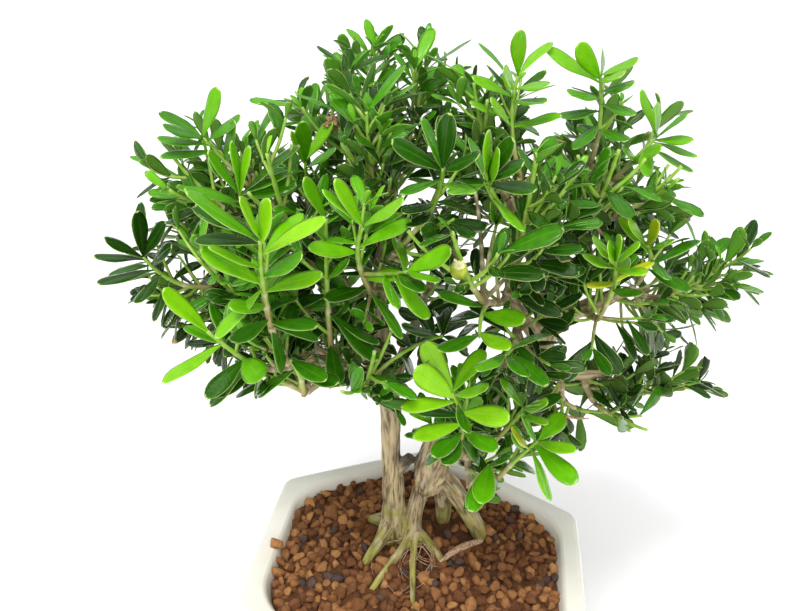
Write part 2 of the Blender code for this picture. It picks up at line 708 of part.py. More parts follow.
def main():
    for old in list(bpy.data.objects):
        bpy.data.objects.remove(old)
    glaze = material("white_glaze", colour(244, 243, 232), 0.2)
    clay = material("baked_clay_granules", colour(150, 96, 66), 0.9)
    bark = material("boxwood_bark", colour(166, 148, 120), 0.85)
    leaf = material("boxwood_leaf", colour(72, 128, 36), 0.35)
    dry = material("dry_seed_head", colour(120, 92, 66), 0.8)
    green = material("green_capsule", colour(150, 168, 50), 0.45)
    space = Space()
    build_pot(glaze)
    build_soil(clay)
    build_wood(bark, [twig_of(*row) for row in SPRAYS], space)
    plans = [plan_spray(index, name, limb, share, Vector(tip), space)
             for index, (name, limb, share, tip) in enumerate(SPRAYS)]
    curves = {name: main_shoot for _, name, main_shoot, _, _ in plans}
    knobs = (HEAD_KNOB, HEAD_HOLLOW, HEAD_HOLLOW)
    for name, radius, spray, share, turn in HEADS:
        build_head(name, radius, curves[spray], share, turn, knobs, dry, space)
    name, radius, spray, share, turn = CAPSULE
    build_head(name, radius, curves[spray], share, turn, (1.0,), green, space)
    for plan in plans:
        build_spray(plan, space, leaf)


main()
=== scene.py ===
"""Looks of the potted boxwood: leaves, bark, baked-clay granules and glaze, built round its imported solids.

Lengths are in millimetres in the plant's own frame: the origin is the centre of the pot's foot, +Z is up
and one corner of the hexagonal pot points along +Y. They are turned to metres where an object is made.
"""

from __future__ import annotations

import json
import logging
import math
import random
from dataclasses import dataclass, field
from enum import Enum
from typing import Iterable, Sequence

import bmesh
import bpy
import numpy as np
from mathutils import Matrix, Quaternion, Vector, noise
from mathutils.bvhtree import BVHTree

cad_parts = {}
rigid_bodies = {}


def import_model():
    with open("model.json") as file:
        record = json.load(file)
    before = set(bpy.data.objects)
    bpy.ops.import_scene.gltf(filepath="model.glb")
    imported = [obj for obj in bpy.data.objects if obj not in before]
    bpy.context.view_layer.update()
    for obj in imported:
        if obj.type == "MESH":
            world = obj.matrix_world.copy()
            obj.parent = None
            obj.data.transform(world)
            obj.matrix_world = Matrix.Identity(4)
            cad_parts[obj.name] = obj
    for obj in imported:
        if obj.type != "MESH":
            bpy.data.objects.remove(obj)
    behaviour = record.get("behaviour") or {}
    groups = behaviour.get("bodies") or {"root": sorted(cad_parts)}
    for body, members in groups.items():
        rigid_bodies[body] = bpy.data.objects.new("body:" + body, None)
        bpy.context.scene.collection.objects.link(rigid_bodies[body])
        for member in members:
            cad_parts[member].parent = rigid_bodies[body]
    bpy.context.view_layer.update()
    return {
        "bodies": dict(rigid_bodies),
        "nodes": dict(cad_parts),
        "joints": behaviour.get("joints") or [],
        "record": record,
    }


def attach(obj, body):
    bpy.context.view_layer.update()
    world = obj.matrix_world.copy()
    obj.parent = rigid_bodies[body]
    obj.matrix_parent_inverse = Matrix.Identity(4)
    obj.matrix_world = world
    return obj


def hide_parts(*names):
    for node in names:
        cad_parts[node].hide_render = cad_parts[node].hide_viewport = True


LOG = logging.getLogger("boxwood")
MM = 0.001
UP = Vector((0, 0, 1))
BODY = "root"

Row = tuple[float, float, float, float]
Path = Sequence[Vector]
Faces = list[tuple[int, ...]]
Colour = tuple[float, float, float, float]

# Trunks, limbs and roots as in the solids: x, y, z and radius of each point
TRUNKS: dict[str, tuple[int, float, tuple[Row, ...]]] = {
    "left_trunk": (8, 0.08, (
        (-15, 14, 48, 6.4), (-15, 13, 68, 6.6), (-15, 12, 82, 5.7), (-16, 12, 97, 5.4),
        (-17, 12, 114, 4.6), (-18, 12, 131, 4.5), (-20, 12, 148, 5.0), (-28, 9, 172, 4.6),
        (-38, 4, 196, 3.8), (-48, 0, 214, 2.6))),
    "right_trunk": (8, 0.10, (
        (1, 14, 98, 6.0), (1, 14, 108, 8.0), (3, 14, 118, 7.8), (6, 15, 129, 6.6),
        (13, 18, 142, 6.2), (28, 21, 154, 6.0), (40, 22, 166, 5.8), (45, 21, 182, 5.6),
        (46, 20, 202, 4.8), (42, 18, 226, 3.8), (33, 20, 248, 2.7))),
    "left_leg": (7, 0.08, ((-5, 14, 50, 4.4), (-5, 13, 70, 4.6), (-4, 12, 90, 4.1), (0, 13, 110, 4.6))),
    "right_leg": (7, 0.08, (
        (3, 14, 112, 4.4), (12, 16, 100, 4.6), (20, 19, 86, 4.4), (27, 22, 70, 4.0), (31, 25, 54, 2.6))),
    "back_leg": (6, 0.0, ((4, 16, 108, 4.4), (8, 22, 88, 4.4), (9, 30, 68, 3.8), (8, 36, 54, 2.4))),
    "left_root": (6, 0.0, ((-16, 11, 80, 4.4), (-20, 4, 71, 3.2), (-25, -5, 66, 2.2), (-29, -12, 58, 1.4))),
    "left_back_root": (6, 0.0, ((-14, 13, 78, 4.4), (-23, 22, 69, 3.4), (-33, 30, 60, 1.8))),
    "joining_root": (5, 0.0, ((-15, 13, 70, 3.6), (-9, 9, 69, 3.0), (-4, 10, 72, 3.2))),
    "mossy_root": (5, 0.0, (
        (-5, 12, 77, 2.6), (-8, 3, 71, 2.2), (-13, -8, 69, 2.0), (-19, -21, 66, 1.6), (-22, -27, 60, 1.2))),
    "straight_root": (5, 0.0, (
        (-4, 12, 76, 2.2), (-3, 2, 71, 1.9), (-2, -10, 69.5, 1.6), (0, -26, 67.5, 1.4), (1, -33, 61, 1.0))),
    "short_root": (5, 0.0, ((-4, 13, 75, 3.0), (3, 8, 71, 2.6), (9, 3, 68, 2.2), (13, 0, 61, 1.6))),
}
LIMB_SIDES = 5
LIMBS: dict[str, tuple[Row, ...]] = {
    "front_left": ((-20, 11, 152, 4.2), (-34, -6, 172, 3.2), (-46, -26, 186, 2.5), (-52, -38, 190, 2.0)),
    "far_left": ((-31, 8, 180, 4.0), (-56, 10, 193, 2.9), (-80, 6, 203, 2.0)),
    "top_left": ((-42, 2, 204, 2.9), (-54, 2, 220, 2.5), (-68, 2, 236, 2.0)),
    "back_left": ((-29, 8, 175, 3.8), (-45, 28, 196, 2.9), (-58, 44, 211, 2.1)),
    "back_top": ((-22, 11, 154, 4.0), (-27, 26, 192, 3.2), (-33, 43, 226, 2.4), (-35, 50, 240, 2.0)),
    "centre_left": ((-30, 8, 180, 3.4), (-26, 0, 206, 2.7), (-22, -10, 234, 2.0)),
    "centre_top": ((46, 20, 204, 3.8), (34, 14, 226, 3.0), (24, 12, 246, 2.2)),
    "centre_front": ((44, 21, 180, 3.6), (34, 4, 200, 2.9), (26, -12, 216, 2.0)),
    "top_right": ((43, 18, 212, 3.2), (54, 26, 232, 2.7), (60, 30, 246, 2.0)),
    "mid_right": ((46, 20, 192, 3.8), (62, 17, 200, 2.8), (78, 24, 207, 2.0)),
    "low_right": ((38, 22, 164, 3.6), (58, 26, 162, 2.7), (78, 34, 160, 2.0)),
    "low_front": ((5, 15, 122, 3.8), (14, 0, 130, 2.8), (18, -14, 140, 2.2), (18, -20, 146, 1.9)),
    "far_right": ((45, 21, 184, 3.6), (62, 36, 192, 2.8), (78, 48, 196, 2.0)),
    "back_right": ((46, 20, 196, 3.6), (50, 36, 208, 2.8), (54, 50, 222, 2.0)),
    "low_back": ((30, 21, 156, 3.6), (34, 40, 166, 2.8), (36, 56, 174, 2.0)),
    "low_left": ((-20, 12, 148, 3.8), (-42, 24, 154, 2.8), (-62, 34, 160, 2.0)),
    "mid_back": ((-20, 12, 150, 3.8), (-14, 32, 168, 2.8), (-10, 48, 180, 2.0)),
}

# Sprays as in the solids: name, limb, share of the limb, tip of the main shoot; then the age of its
# leaves, from 0 for last year's dark ones to 1 for this spring's
SPRAYS: tuple[tuple[str, str, float, tuple[float, float, float], float], ...] = (
    ("front_left_shoot", "front_left", 1.0, (-54, -72, 258), 0.80),
    ("front_left_side", "front_left", 0.9, (-80, -56, 212), 0.66),
    ("front_left_low", "front_left", 0.8, (-44, -72, 196), 0.42),
    ("front_left_under", "front_left", 0.6, (-70, -42, 176), 0.40),
    ("front_mid_shoot", "centre_left", 0.55, (-22, -58, 254), 0.72),
    ("front_mid_left", "front_left", 0.5, (-40, -46, 234), 0.55),
    ("front_mid_low", "front_left", 0.35, (-18, -50, 206), 0.52),
    ("far_left_tip", "far_left", 1.0, (-116, -12, 220), 0.12),
    ("far_left_low", "far_left", 0.85, (-116, 6, 188), 0.16),
    ("far_left_back", "far_left", 0.7, (-112, 32, 212), 0.20),
    ("far_left_up", "far_left", 0.75, (-108, 10, 244), 0.45),
    ("far_left_front", "far_left", 0.45, (-88, -30, 226), 0.50),
    ("top_left_peak", "top_left", 1.0, (-90, 2, 272), 0.62),
    ("top_left_outer", "top_left", 0.75, (-102, -12, 258), 0.55),
    ("top_left_front", "top_left", 0.6, (-84, -38, 254), 0.62),
    ("top_left_inner", "top_left", 0.45, (-60, -32, 268), 0.72),
    ("top_left_back", "back_left", 0.6, (-74, 34, 268), 0.55),
    ("back_left_outer", "back_left", 0.8, (-92, 54, 236), 0.40),
    ("back_left_low", "back_left", 0.9, (-80, 70, 220), 0.40),
    ("back_top_peak", "back_top", 1.0, (-42, 68, 288), 0.62),
    ("back_top_left", "back_top", 0.75, (-66, 66, 266), 0.55),
    ("back_top_right", "back_top", 0.8, (-16, 62, 286), 0.55),
    ("back_top_front", "back_top", 0.6, (-48, 28, 280), 0.55),
    ("back_top_low", "back_top", 0.5, (-34, 66, 242), 0.40),
    ("centre_left_peak", "centre_left", 1.0, (-30, -10, 280), 0.50),
    ("centre_left_front", "centre_left", 0.8, (-6, -44, 272), 0.35),
    ("centre_peak", "centre_top", 1.0, (6, 18, 288), 0.55),
    ("centre_peak_right", "centre_top", 0.8, (28, 24, 290), 0.68),
    ("centre_back", "centre_top", 0.7, (10, 52, 276), 0.45),
    ("centre_front_peak", "centre_front", 1.0, (30, -36, 274), 0.48),
    ("centre_front_tip", "centre_front", 0.9, (6, -60, 256), 0.30),
    ("centre_front_low", "centre_front", 0.6, (30, -52, 228), 0.42),
    ("top_right_peak", "top_right", 1.0, (50, 36, 288), 0.66),
    ("top_right_outer", "top_right", 0.9, (76, 48, 276), 0.60),
    ("top_right_front", "top_right", 0.5, (60, -4, 272), 0.60),
    ("top_right_side", "top_right", 0.7, (88, 20, 262), 0.60),
    ("mid_right_front", "mid_right", 0.45, (68, -26, 236), 0.55),
    ("mid_right_up", "mid_right", 0.7, (94, 20, 240), 0.52),
    ("mid_right_tip", "mid_right", 1.0, (116, 30, 220), 0.45),
    ("low_right_tip", "low_right", 1.0, (116, 54, 150), 0.25),
    ("low_right_front", "low_right", 0.7, (94, 10, 148), 0.30),
    ("low_right_under", "low_right", 0.45, (78, 44, 132), 0.25),
    ("far_right_tip", "far_right", 1.0, (114, 60, 194), 0.40),
    ("low_front_up", "low_front", 1.0, (6, -46, 194), 0.88),
    ("low_front_down", "low_front", 0.85, (26, -46, 132), 0.62),
    ("low_front_right", "low_front", 0.6, (58, -26, 150), 0.66),
    ("low_front_side", "low_front", 0.3, (46, -18, 184), 0.50),
    ("back_right_peak", "back_right", 1.0, (64, 70, 258), 0.50),
    ("back_right_side", "back_right", 0.6, (88, 70, 228), 0.42),
    ("low_back_right", "low_back", 1.0, (56, 74, 194), 0.32),
    ("low_left_tip", "low_left", 1.0, (-104, 46, 170), 0.28),
    ("low_left_back", "low_left", 0.6, (-66, 68, 164), 0.28),
    ("mid_back_tip", "mid_back", 1.0, (-6, 72.5, 212), 0.35),
)

# Seed heads as in the solids: name, radius, spray, share of its main shoot and turn round it
HEADS: tuple[tuple[str, float, str, float, float], ...] = (
    ("seed_head_left", 3.2, "back_top_front", 0.72, 200),
    ("seed_head_front", 3.4, "low_front_side", 0.24, 250),
    ("seed_head_right", 3.0, "centre_front_peak", 0.72, 40),
)
CAPSULE: tuple[str, float, str, float, float] = ("seed_capsule", 3.0, "centre_front_tip", 0.72, 200)

# Outline of the pot's wall as in the solids: corner distance before rounding, rounding, height
POT_OUTSIDE: tuple[tuple[float, float, float], ...] = (
    (70.0, 8.0, 0.0), (70.6, 8.0, 3.0), (74.0, 9.0, 14.0), (83.5, 9.0, 55.0), (88.6, 9.0, 58.0),
    (90.0, 9.0, 60.5), (90.0, 9.0, 67.0), (89.0, 9.0, 69.1), (86.6, 9.0, 70.0), (79.6, 28.0, 70.0),
    (78.0, 28.0, 68.6))
POT_INSIDE: tuple[tuple[float, float, float], ...] = ((76.0, 28.0, 64.0), (62.0, 20.0, 13.0), (57.0, 18.0, 9.0))
POT_UNDER: tuple[tuple[float, float, float], ...] = ((61.5, 6.0, 3.0), (62.5, 6.0, 0.0))
DRAIN_RADIUS = 7.0
RIM_TOP = 70.0
SOIL_AT_WALL, SOIL_MOUND, MOUND_CENTRE, MOUND_REACH = 64.5, 4.0, (-3.0, 10.0), 46.0

# Rules of the solids' leaves and shoots
GAP = 0.3
LEAF_LENGTH, LEAF_RATIO, LEAF_THICK, LEAF_ARCH, LEAF_COLLAR = 20.0, 0.36, 0.9, 0.16, 1.4
STALK, STALK_HALF = 0.16, 0.7
NODE_STEP, MAIN_PAIRS, SIDE_PAIRS = 9.0, 3, 1
SHOOT_REACH, SHOOT_RADIUS, SHOOT_TIP_RADIUS, SHOOT_PART, SHOOT_BOW = 46.0, 1.2, 0.9, 0.72, 0.2
FORK_SHARE, FORK_COLLAR, SIDE_LENGTHS = 0.42, 1.0, (0.62, 0.5)
SPREAD, SPREAD_BY_PAIR = 38, 12
TWIG_RADIUS, TWIG_MOST, TWIG_END = 1.4, 2.2, 1.5
SHOOT_TRIES, LEAF_TRIES = 24, 20
HEAD_KNOB, HEAD_HOLLOW = 1.12, 0.86
WOOD = "trunks_and_branches"

# What the photograph shows of the crown, by its pixels: outline, gaps, and the shoots whose leaves can be told
# apart. Each leaf row gives its root, its tip, its width, its age, and 1 if its tip comes nearer or -1 if not.
CROWN_EDGE: tuple[tuple[float, float], ...] = (
    (92, 257), (102, 238), (120, 232), (130, 208), (130, 190), (148, 180), (133, 147), (120, 132), (155, 125),
    (158, 106), (195, 100), (212, 84), (240, 82), (258, 95), (300, 90), (298, 60), (342, 24), (372, 14), (402, 26),
    (434, 20), (440, 45), (470, 30), (505, 38), (516, 26), (556, 40), (580, 40), (642, 56), (655, 82), (688, 92),
    (695, 112), (700, 160), (690, 190), (712, 205), (752, 205), (785, 250), (770, 330), (742, 396), (706, 408),
    (690, 388), (645, 402), (628, 420), (600, 402), (575, 386), (556, 390), (568, 412), (580, 442), (580, 486),
    (550, 503), (530, 475), (508, 472), (500, 506), (470, 514), (464, 492), (466, 470), (420, 465), (408, 440),
    (396, 410), (370, 398), (345, 386), (300, 388), (284, 378), (260, 398), (250, 388), (212, 410), (201, 398),
    (212, 378), (164, 388), (160, 378), (198, 352), (170, 345), (134, 305), (96, 292), (106, 276))
CROWN_GAPS: tuple[tuple[tuple[float, float], ...], ...] = (
    ((398, 158), (425, 172), (436, 190), (412, 204), (396, 196)),
    ((402, 232), (416, 236), (420, 262), (444, 262), (446, 284), (424, 280), (400, 262)),
    ((508, 296), (560, 312), (540, 336), (512, 340)),
    ((572, 296), (640, 282), (650, 320), (612, 350), (560, 356), (572, 330)),
    ((640, 262), (668, 268), (664, 300), (642, 300)),
    ((176, 252), (198, 244), (202, 276), (182, 282)),
    ((340, 150), (356, 150), (356, 174), (342, 174)),
    ((386, 160), (394, 166), (392, 200), (386, 196)),
    ((480, 192), (520, 190), (524, 214), (492, 204)))


@dataclass(frozen=True)
class SeenShoot:
    """A shoot of the photograph.

    Attributes:
        spray: The spray that it belongs to.
        start: Share of the spray's main shoot where it begins; below zero, the share back along its twig.
        middle: Pixel halfway along it.
        end: Pixel of its tip.
        depth: Distance of its tip from the camera's plane.
        leaves: Its leaves.
        woody: How woody its root and its tip are, from 0 to 1.
    """

    spray: str
    start: float
    middle: tuple[float, float]
    end: tuple[float, float]
    depth: float
    leaves: tuple[tuple[float, float, float, float, float, float, int], ...] = ()
    woody: tuple[float, float] = (0.6, 0.0)


SEEN_SHOOTS = (
    SeenShoot("front_left_shoot", 0.0, (263, 285), (260, 240), 231, (
        (262, 286, 200, 248, 20, 0.84, 1), (261, 270, 208, 248, 9, 0.9, 1), (257, 244, 185, 193, 13, 0.7, 1),
        (259, 241, 239, 199, 9, 0.92, 1), (262, 248, 270, 199, 15, 0.95, 1), (263, 256, 326, 218, 15, 0.97, 1),
        (264, 260, 302, 213, 15, 0.8, -1), (266, 278, 303, 257, 15, 0.6, 1), (266, 290, 323, 275, 15, 0.86, 1),
        (264, 305, 230, 309, 15, 0.76, 1), (262, 290, 216, 339, 13, 0.82, 1), (267, 312, 293, 296, 12, 0.4, -1),
        (270, 324, 317, 327, 14, 0.45, 1), (272, 328, 318, 338, 13, 0.45, -1), (265, 322, 233, 343, 15, 0.45, 1),
        (258, 236, 194, 206, 17, 0.3, -1), (258, 242, 195, 239, 14, 0.28, -1), (270, 330, 283, 372, 13, 0.4, -1))),
    SeenShoot("front_left_side", 0.0, (238, 355), (207, 331), 274, (
        (210, 334, 162, 290, 17, 0.9, 1), (220, 349, 163, 384, 13, 0.88, 1), (228, 346, 185, 326, 13, 0.62, -1),
        (226, 342, 212, 304, 12, 0.5, -1), (244, 356, 262, 380, 25, 0.74, 1), (243, 362, 206, 399, 18, 0.3, 1),
        (252, 366, 210, 406, 11, 0.36, -1), (256, 368, 258, 396, 9, 0.42, -1))),
    SeenShoot("front_mid_shoot", 0.0, (358, 258), (363, 227), 250, (
        (362, 228, 334, 180, 14, 0.86, 1), (360, 224, 322, 191, 8, 0.82, 1), (364, 226, 404, 202, 11, 0.86, 1),
        (362, 248, 412, 221, 14, 0.8, 1), (358, 254, 308, 249, 16, 0.8, 1), (358, 246, 322, 239, 8, 0.7, -1),
        (366, 276, 400, 276, 14, 0.86, 1), (362, 270, 372, 246, 10, 0.5, -1), (364, 290, 325, 300, 14, 0.3, 1),
        (368, 292, 402, 339, 10, 0.6, 1))),
    SeenShoot("front_mid_shoot", 0.25, (388, 274), (407, 272), 252, (
        (406, 273, 452, 251, 18, 0.82, 1), (404, 272, 397, 239, 12, 0.8, -1), (407, 273, 437, 283, 9, 0.76, 1),
        (398, 275, 422, 293, 15, 0.4, 1), (392, 276, 427, 320, 15, 0.82, 1), (385, 276, 395, 308, 12, 0.7, 1))),
    SeenShoot("front_mid_left", 0.0, (327, 285), (326, 219), 268, (
        (326, 221, 303, 179, 13, 0.76, 1), (328, 280, 349, 262, 8, 0.6, 1), (326, 262, 305, 238, 12, 0.25, -1),
        (327, 240, 311, 221, 8, 0.7, 1), (328, 222, 347, 208, 8, 0.6, -1), (328, 295, 294, 306, 12, 0.25, -1),
        (329, 310, 377, 362, 16, 0.34, 1), (330, 318, 379, 345, 9, 0.4, 1), (331, 346, 337, 384, 17, 0.34, 1),
        (330, 330, 302, 345, 12, 0.3, -1))),
    SeenShoot("front_left_low", 0.0, (300, 376), (290, 360), 276, (
        (298, 374, 338, 384, 15, 0.35, 1), (296, 370, 258, 396, 10, 0.45, -1), (298, 378, 307, 387, 13, 0.3, -1),
        (291, 361, 326, 381, 18, 0.42, 1))),
    SeenShoot("front_left_under", 0.0, (278, 380), (250, 369), 298, (
        (254, 371, 214, 397, 16, 0.25, 1), (268, 376, 262, 394, 10, 0.35, 1), (262, 373, 236, 352, 12, 0.3, -1))),
    SeenShoot("low_front_up", 0.0, (463, 424), (452, 393), 284, (
        (452, 396, 424, 342, 21, 0.96, 1), (452, 399, 415, 368, 24, 0.95, 1), (454, 402, 401, 408, 15, 0.95, 1),
        (454, 394, 488, 389, 11, 0.9, 1), (455, 392, 484, 350, 17, 0.84, -1), (458, 412, 510, 418, 21, 0.96, 1),
        (460, 424, 413, 438, 17, 0.95, 1), (456, 404, 465, 432, 11, 0.4, 1), (464, 432, 433, 457, 17, 0.5, 1),
        (462, 438, 447, 466, 16, 0.42, 1), (464, 430, 497, 451, 17, 0.62, 1), (458, 440, 425, 463, 12, 0.4, -1),
        (461, 440, 480, 462, 12, 0.4, -1), (458, 418, 420, 412, 11, 0.4, -1))),
    SeenShoot("low_front_right", 0.0, (516, 460), (538, 441), 312, (
        (537, 444, 576, 452, 13, 0.9, 1), (536, 448, 576, 484, 19, 0.72, 1), (533, 452, 549, 501, 9, 0.82, 1),
        (510, 465, 534, 470, 11, 0.4, -1), (538, 441, 564, 414, 20, 0.76, -1), (536, 441, 521, 414, 8, 0.7, 1),
        (524, 453, 512, 428, 12, 0.66, 1), (530, 450, 511, 430, 8, 1.25, 1), (505, 470, 497, 448, 9, 0.4, -1))),
    SeenShoot("low_front_down", 0.0, (478, 478), (490, 465), 314, (
        (489, 466, 470, 512, 18, 0.62, 1), (490, 466, 480, 504, 23, 0.7, 1), (482, 474, 463, 462, 10, 0.4, -1),
        (490, 464, 512, 456, 9, 0.5, 1))),
    SeenShoot("low_front_side", 0.0, (510, 425), (524, 408), 306, (
        (523, 410, 548, 404, 12, 0.93, 1), (520, 414, 546, 425, 9, 0.95, 1), (524, 408, 500, 380, 9, 0.8, 1),
        (516, 418, 562, 395, 13, 0.35, -1), (512, 424, 530, 438, 11, 0.45, -1), (510, 426, 488, 402, 11, 0.5, -1))),
    SeenShoot("centre_front_tip", -0.3, (481, 318), (480, 337), 276, (
        (482, 313, 525, 321, 18, 0.78, 1), (480, 333, 509, 350, 16, 0.92, 1), (480, 336, 440, 352, 13, 0.55, 1),
        (483, 306, 438, 295, 11, 0.5, 1), (481, 316, 452, 318, 12, 0.2, -1), (481, 325, 458, 336, 10, 0.25, -1),
        (481, 310, 500, 300, 9, 0.3, -1))),
    SeenShoot("centre_front_tip", 0.02, (481, 240), (473, 179), 290, woody=(1.0, 0.85)),
    SeenShoot("centre_front_tip", 0.02, (507, 276), (527, 250), 286, woody=(0.95, 0.55)),
    SeenShoot("centre_front_tip", 0.02, (470, 282), (453, 250), 290, woody=(1.0, 0.8)),
    SeenShoot("centre_front_tip", 0.02, (488, 262), (497, 222), 287, (
        (497, 224, 490, 205, 7, 0.6, 1), (497, 224, 506, 208, 7, 0.7, 1)), (0.9, 0.3)),
    SeenShoot("front_mid_low", 0.3, (404, 352), (443, 336), 300, (
        (441, 336, 402, 328, 10, 0.3, 1), (443, 336, 436, 312, 9, 0.3, -1), (442, 335, 447, 308, 14, 0.12, -1),
        (440, 336, 464, 320, 12, 0.15, -1), (434, 338, 420, 308, 15, 0.12, -1), (430, 340, 424, 366, 13, 0.15, 1),
        (420, 344, 398, 362, 12, 0.15, -1), (410, 348, 392, 330, 12, 0.15, -1), (443, 337, 468, 352, 12, 0.2, -1),
        (416, 346, 432, 326, 12, 0.1, -1), (426, 342, 448, 364, 13, 0.15, -1), (396, 356, 376, 342, 12, 0.15, -1),
        (400, 354, 412, 376, 12, 0.15, -1), (388, 362, 366, 360, 12, 0.12, -1))),
    SeenShoot("mid_back_tip", -0.4, (424, 318), (426, 334), 362, (
        (425, 330, 412, 296, 13, 0.1, -1), (426, 332, 458, 322, 13, 0.12, 1), (425, 334, 398, 346, 13, 0.1, 1),
        (426, 334, 450, 352, 13, 0.1, 1), (424, 324, 442, 296, 12, 0.12, -1), (424, 320, 398, 312, 12, 0.1, 1),
        (426, 334, 424, 360, 13, 0.1, 1), (424, 316, 458, 306, 12, 0.12, 1))),
    SeenShoot("centre_front_low", 0.0, (512, 348), (505, 356), 272, (
        (508, 352, 547, 386, 15, 0.4, 1), (506, 355, 524, 377, 12, 0.5, 1), (506, 356, 478, 372, 13, 0.7, 1),
        (510, 350, 548, 333, 8, 0.6, -1))),
    SeenShoot("centre_left_front", 0.0, (430, 212), (443, 168), 252, (
        (440, 172, 391, 142, 16, 0.28, 1), (442, 168, 441, 116, 15, 0.2, -1), (443, 169, 450, 113, 20, 0.22, 1),
        (443, 172, 479, 157, 11, 0.3, 1), (441, 178, 402, 195, 9, 0.45, 1), (442, 182, 474, 194, 10, 0.72, 1),
        (438, 192, 412, 178, 9, 0.3, -1), (436, 200, 474, 212, 9, 0.3, -1), (430, 212, 412, 228, 12, 0.12, 1),
        (442, 170, 421, 118, 9, 0.55, 1), (432, 206, 404, 214, 10, 0.2, 1))),
    SeenShoot("centre_front_peak", 0.42, (500, 208), (485, 182), 254, (
        (486, 184, 536, 191, 13, 0.32, 1), (486, 182, 524, 164, 12, 0.32, 1), (485, 180, 514, 139, 16, 0.3, 1),
        (484, 184, 451, 195, 9, 0.68, 1), (484, 180, 487, 131, 8, 0.9, 1), (485, 181, 470, 138, 10, 0.5, -1),
        (490, 190, 500, 150, 8, 0.85, 1), (494, 198, 522, 232, 9, 0.8, 1))),
    SeenShoot("centre_peak_right", 0.0, (512, 128), (518, 76), 297, (
        (518, 77, 518, 30, 15, 0.84, 1), (519, 76, 551, 42, 10, 0.86, -1), (517, 84, 478, 43, 4, 0.6, 1),
        (516, 88, 548, 86, 8, 0.84, 1), (514, 98, 472, 78, 9, 0.82, 1), (513, 104, 546, 103, 8, 0.7, 1),
        (512, 118, 470, 104, 7, 0.8, 1), (511, 128, 562, 116, 9, 0.76, 1), (514, 96, 503, 68, 9, 0.92, 1),
        (512, 130, 490, 100, 8, 0.9, 1), (512, 122, 538, 132, 9, 0.5, -1))),
    SeenShoot("top_right_peak", 0.0, (600, 122), (600, 76), 306, (
        (598, 80, 577, 44, 17, 0.82, 1), (598, 86, 546, 50, 12, 0.82, 1), (600, 76, 603, 50, 5, 0.6, -1),
        (601, 76, 638, 62, 9, 0.84, 1), (601, 82, 623, 76, 9, 0.92, 1), (601, 92, 633, 86, 9, 0.7, 1),
        (600, 98, 568, 94, 8, 0.6, 1), (601, 104, 634, 116, 9, 0.6, 1), (600, 112, 560, 118, 9, 0.45, 1),
        (600, 124, 574, 150, 12, 0.5, 1), (600, 128, 626, 142, 10, 0.5, 1))),
    SeenShoot("top_right_outer", 0.0, (634, 160), (656, 138), 318, (
        (634, 158, 622, 150, 8, 0.7, 1), (626, 160, 662, 148, 12, 0.86, 1), (656, 140, 692, 142, 9, 0.8, 1),
        (655, 136, 655, 104, 9, 0.86, 1), (654, 136, 640, 90, 8, 0.8, 1), (656, 138, 688, 115, 5, 0.7, 1),
        (654, 142, 696, 158, 6, 0.75, 1), (648, 148, 692, 173, 6, 0.7, 1), (650, 148, 644, 176, 14, 0.72, 1))),
    SeenShoot("mid_right_front", 0.0, (612, 290), (615, 262), 280, (
        (614, 268, 583, 257, 9, 0.92, 1), (615, 270, 645, 275, 10, 0.94, 1), (613, 282, 589, 288, 9, 1.25, 1),
        (614, 264, 607, 246, 8, 0.94, 1), (615, 262, 622, 238, 8, 0.9, 1), (616, 262, 640, 246, 9, 0.9, 1),
        (614, 284, 652, 262, 9, 1.25, -1), (615, 262, 592, 240, 9, 0.85, 1), (612, 290, 640, 296, 10, 0.5, 1))),
    SeenShoot("mid_right_up", 0.0, (650, 262), (646, 244), 312, (
        (646, 246, 659, 222, 12, 1.25, 1), (647, 250, 672, 243, 6, 0.85, 1), (648, 256, 618, 218, 9, 0.85, 1),
        (648, 258, 666, 280, 9, 0.5, 1), (646, 244, 628, 222, 8, 0.9, 1), (652, 268, 700, 240, 10, 0.5, -1),
        (654, 272, 690, 292, 12, 0.4, 1))),
    SeenShoot("top_left_peak", 0.0, (226, 162), (203, 138), 299, (
        (201, 137, 219, 88, 13, 0.74, 1), (206, 144, 241, 118, 9, 0.58, 1), (202, 138, 160, 112, 11, 0.45, -1),
        (203, 140, 163, 128, 9, 0.5, 1), (208, 148, 157, 140, 8, 0.6, 1), (216, 154, 160, 158, 9, 0.55, 1),
        (224, 160, 236, 122, 9, 0.6, 1), (210, 148, 216, 176, 10, 0.5, 1))),
    SeenShoot("top_left_back", 0.0, (307, 190), (305, 162), 322, (
        (305, 163, 302, 121, 17, 0.66, 1), (306, 162, 333, 121, 12, 0.84, 1), (304, 164, 290, 133, 7, 0.86, 1),
        (306, 168, 336, 150, 7, 0.6, 1), (305, 172, 262, 172, 8, 0.4, 1), (306, 180, 272, 196, 11, 0.3, 1))),
    SeenShoot("top_left_front", 0.0, (248, 222), (240, 196), 284, (
        (242, 198, 297, 184, 17, 0.45, 1), (241, 196, 293, 172, 8, 0.6, 1), (240, 195, 300, 145, 8, 0.42, 1),
        (240, 196, 231, 141, 8, 0.86, 1), (239, 196, 207, 152, 9, 0.7, 1), (241, 202, 184, 190, 11, 0.62, 1),
        (243, 208, 176, 186, 8, 0.6, -1), (240, 196, 250, 146, 8, 0.85, 1))),
    SeenShoot("far_left_tip", 0.0, (176, 282), (143, 257), 312, (
        (143, 254, 137, 211, 15, 0.08, 1), (146, 256, 166, 222, 13, 0.1, 1), (142, 256, 104, 240, 10, 0.14, 1),
        (144, 260, 94, 258, 8, 0.24, 1), (150, 264, 172, 246, 11, 0.1, 1), (156, 272, 98, 285, 9, 0.2, 1),
        (152, 266, 108, 276, 9, 0.3, -1), (160, 278, 138, 304, 10, 0.16, 1), (148, 258, 140, 202, 12, 0.1, -1),
        (168, 282, 155, 322, 9, 0.2, 1), (172, 284, 200, 262, 10, 0.2, -1))),
)


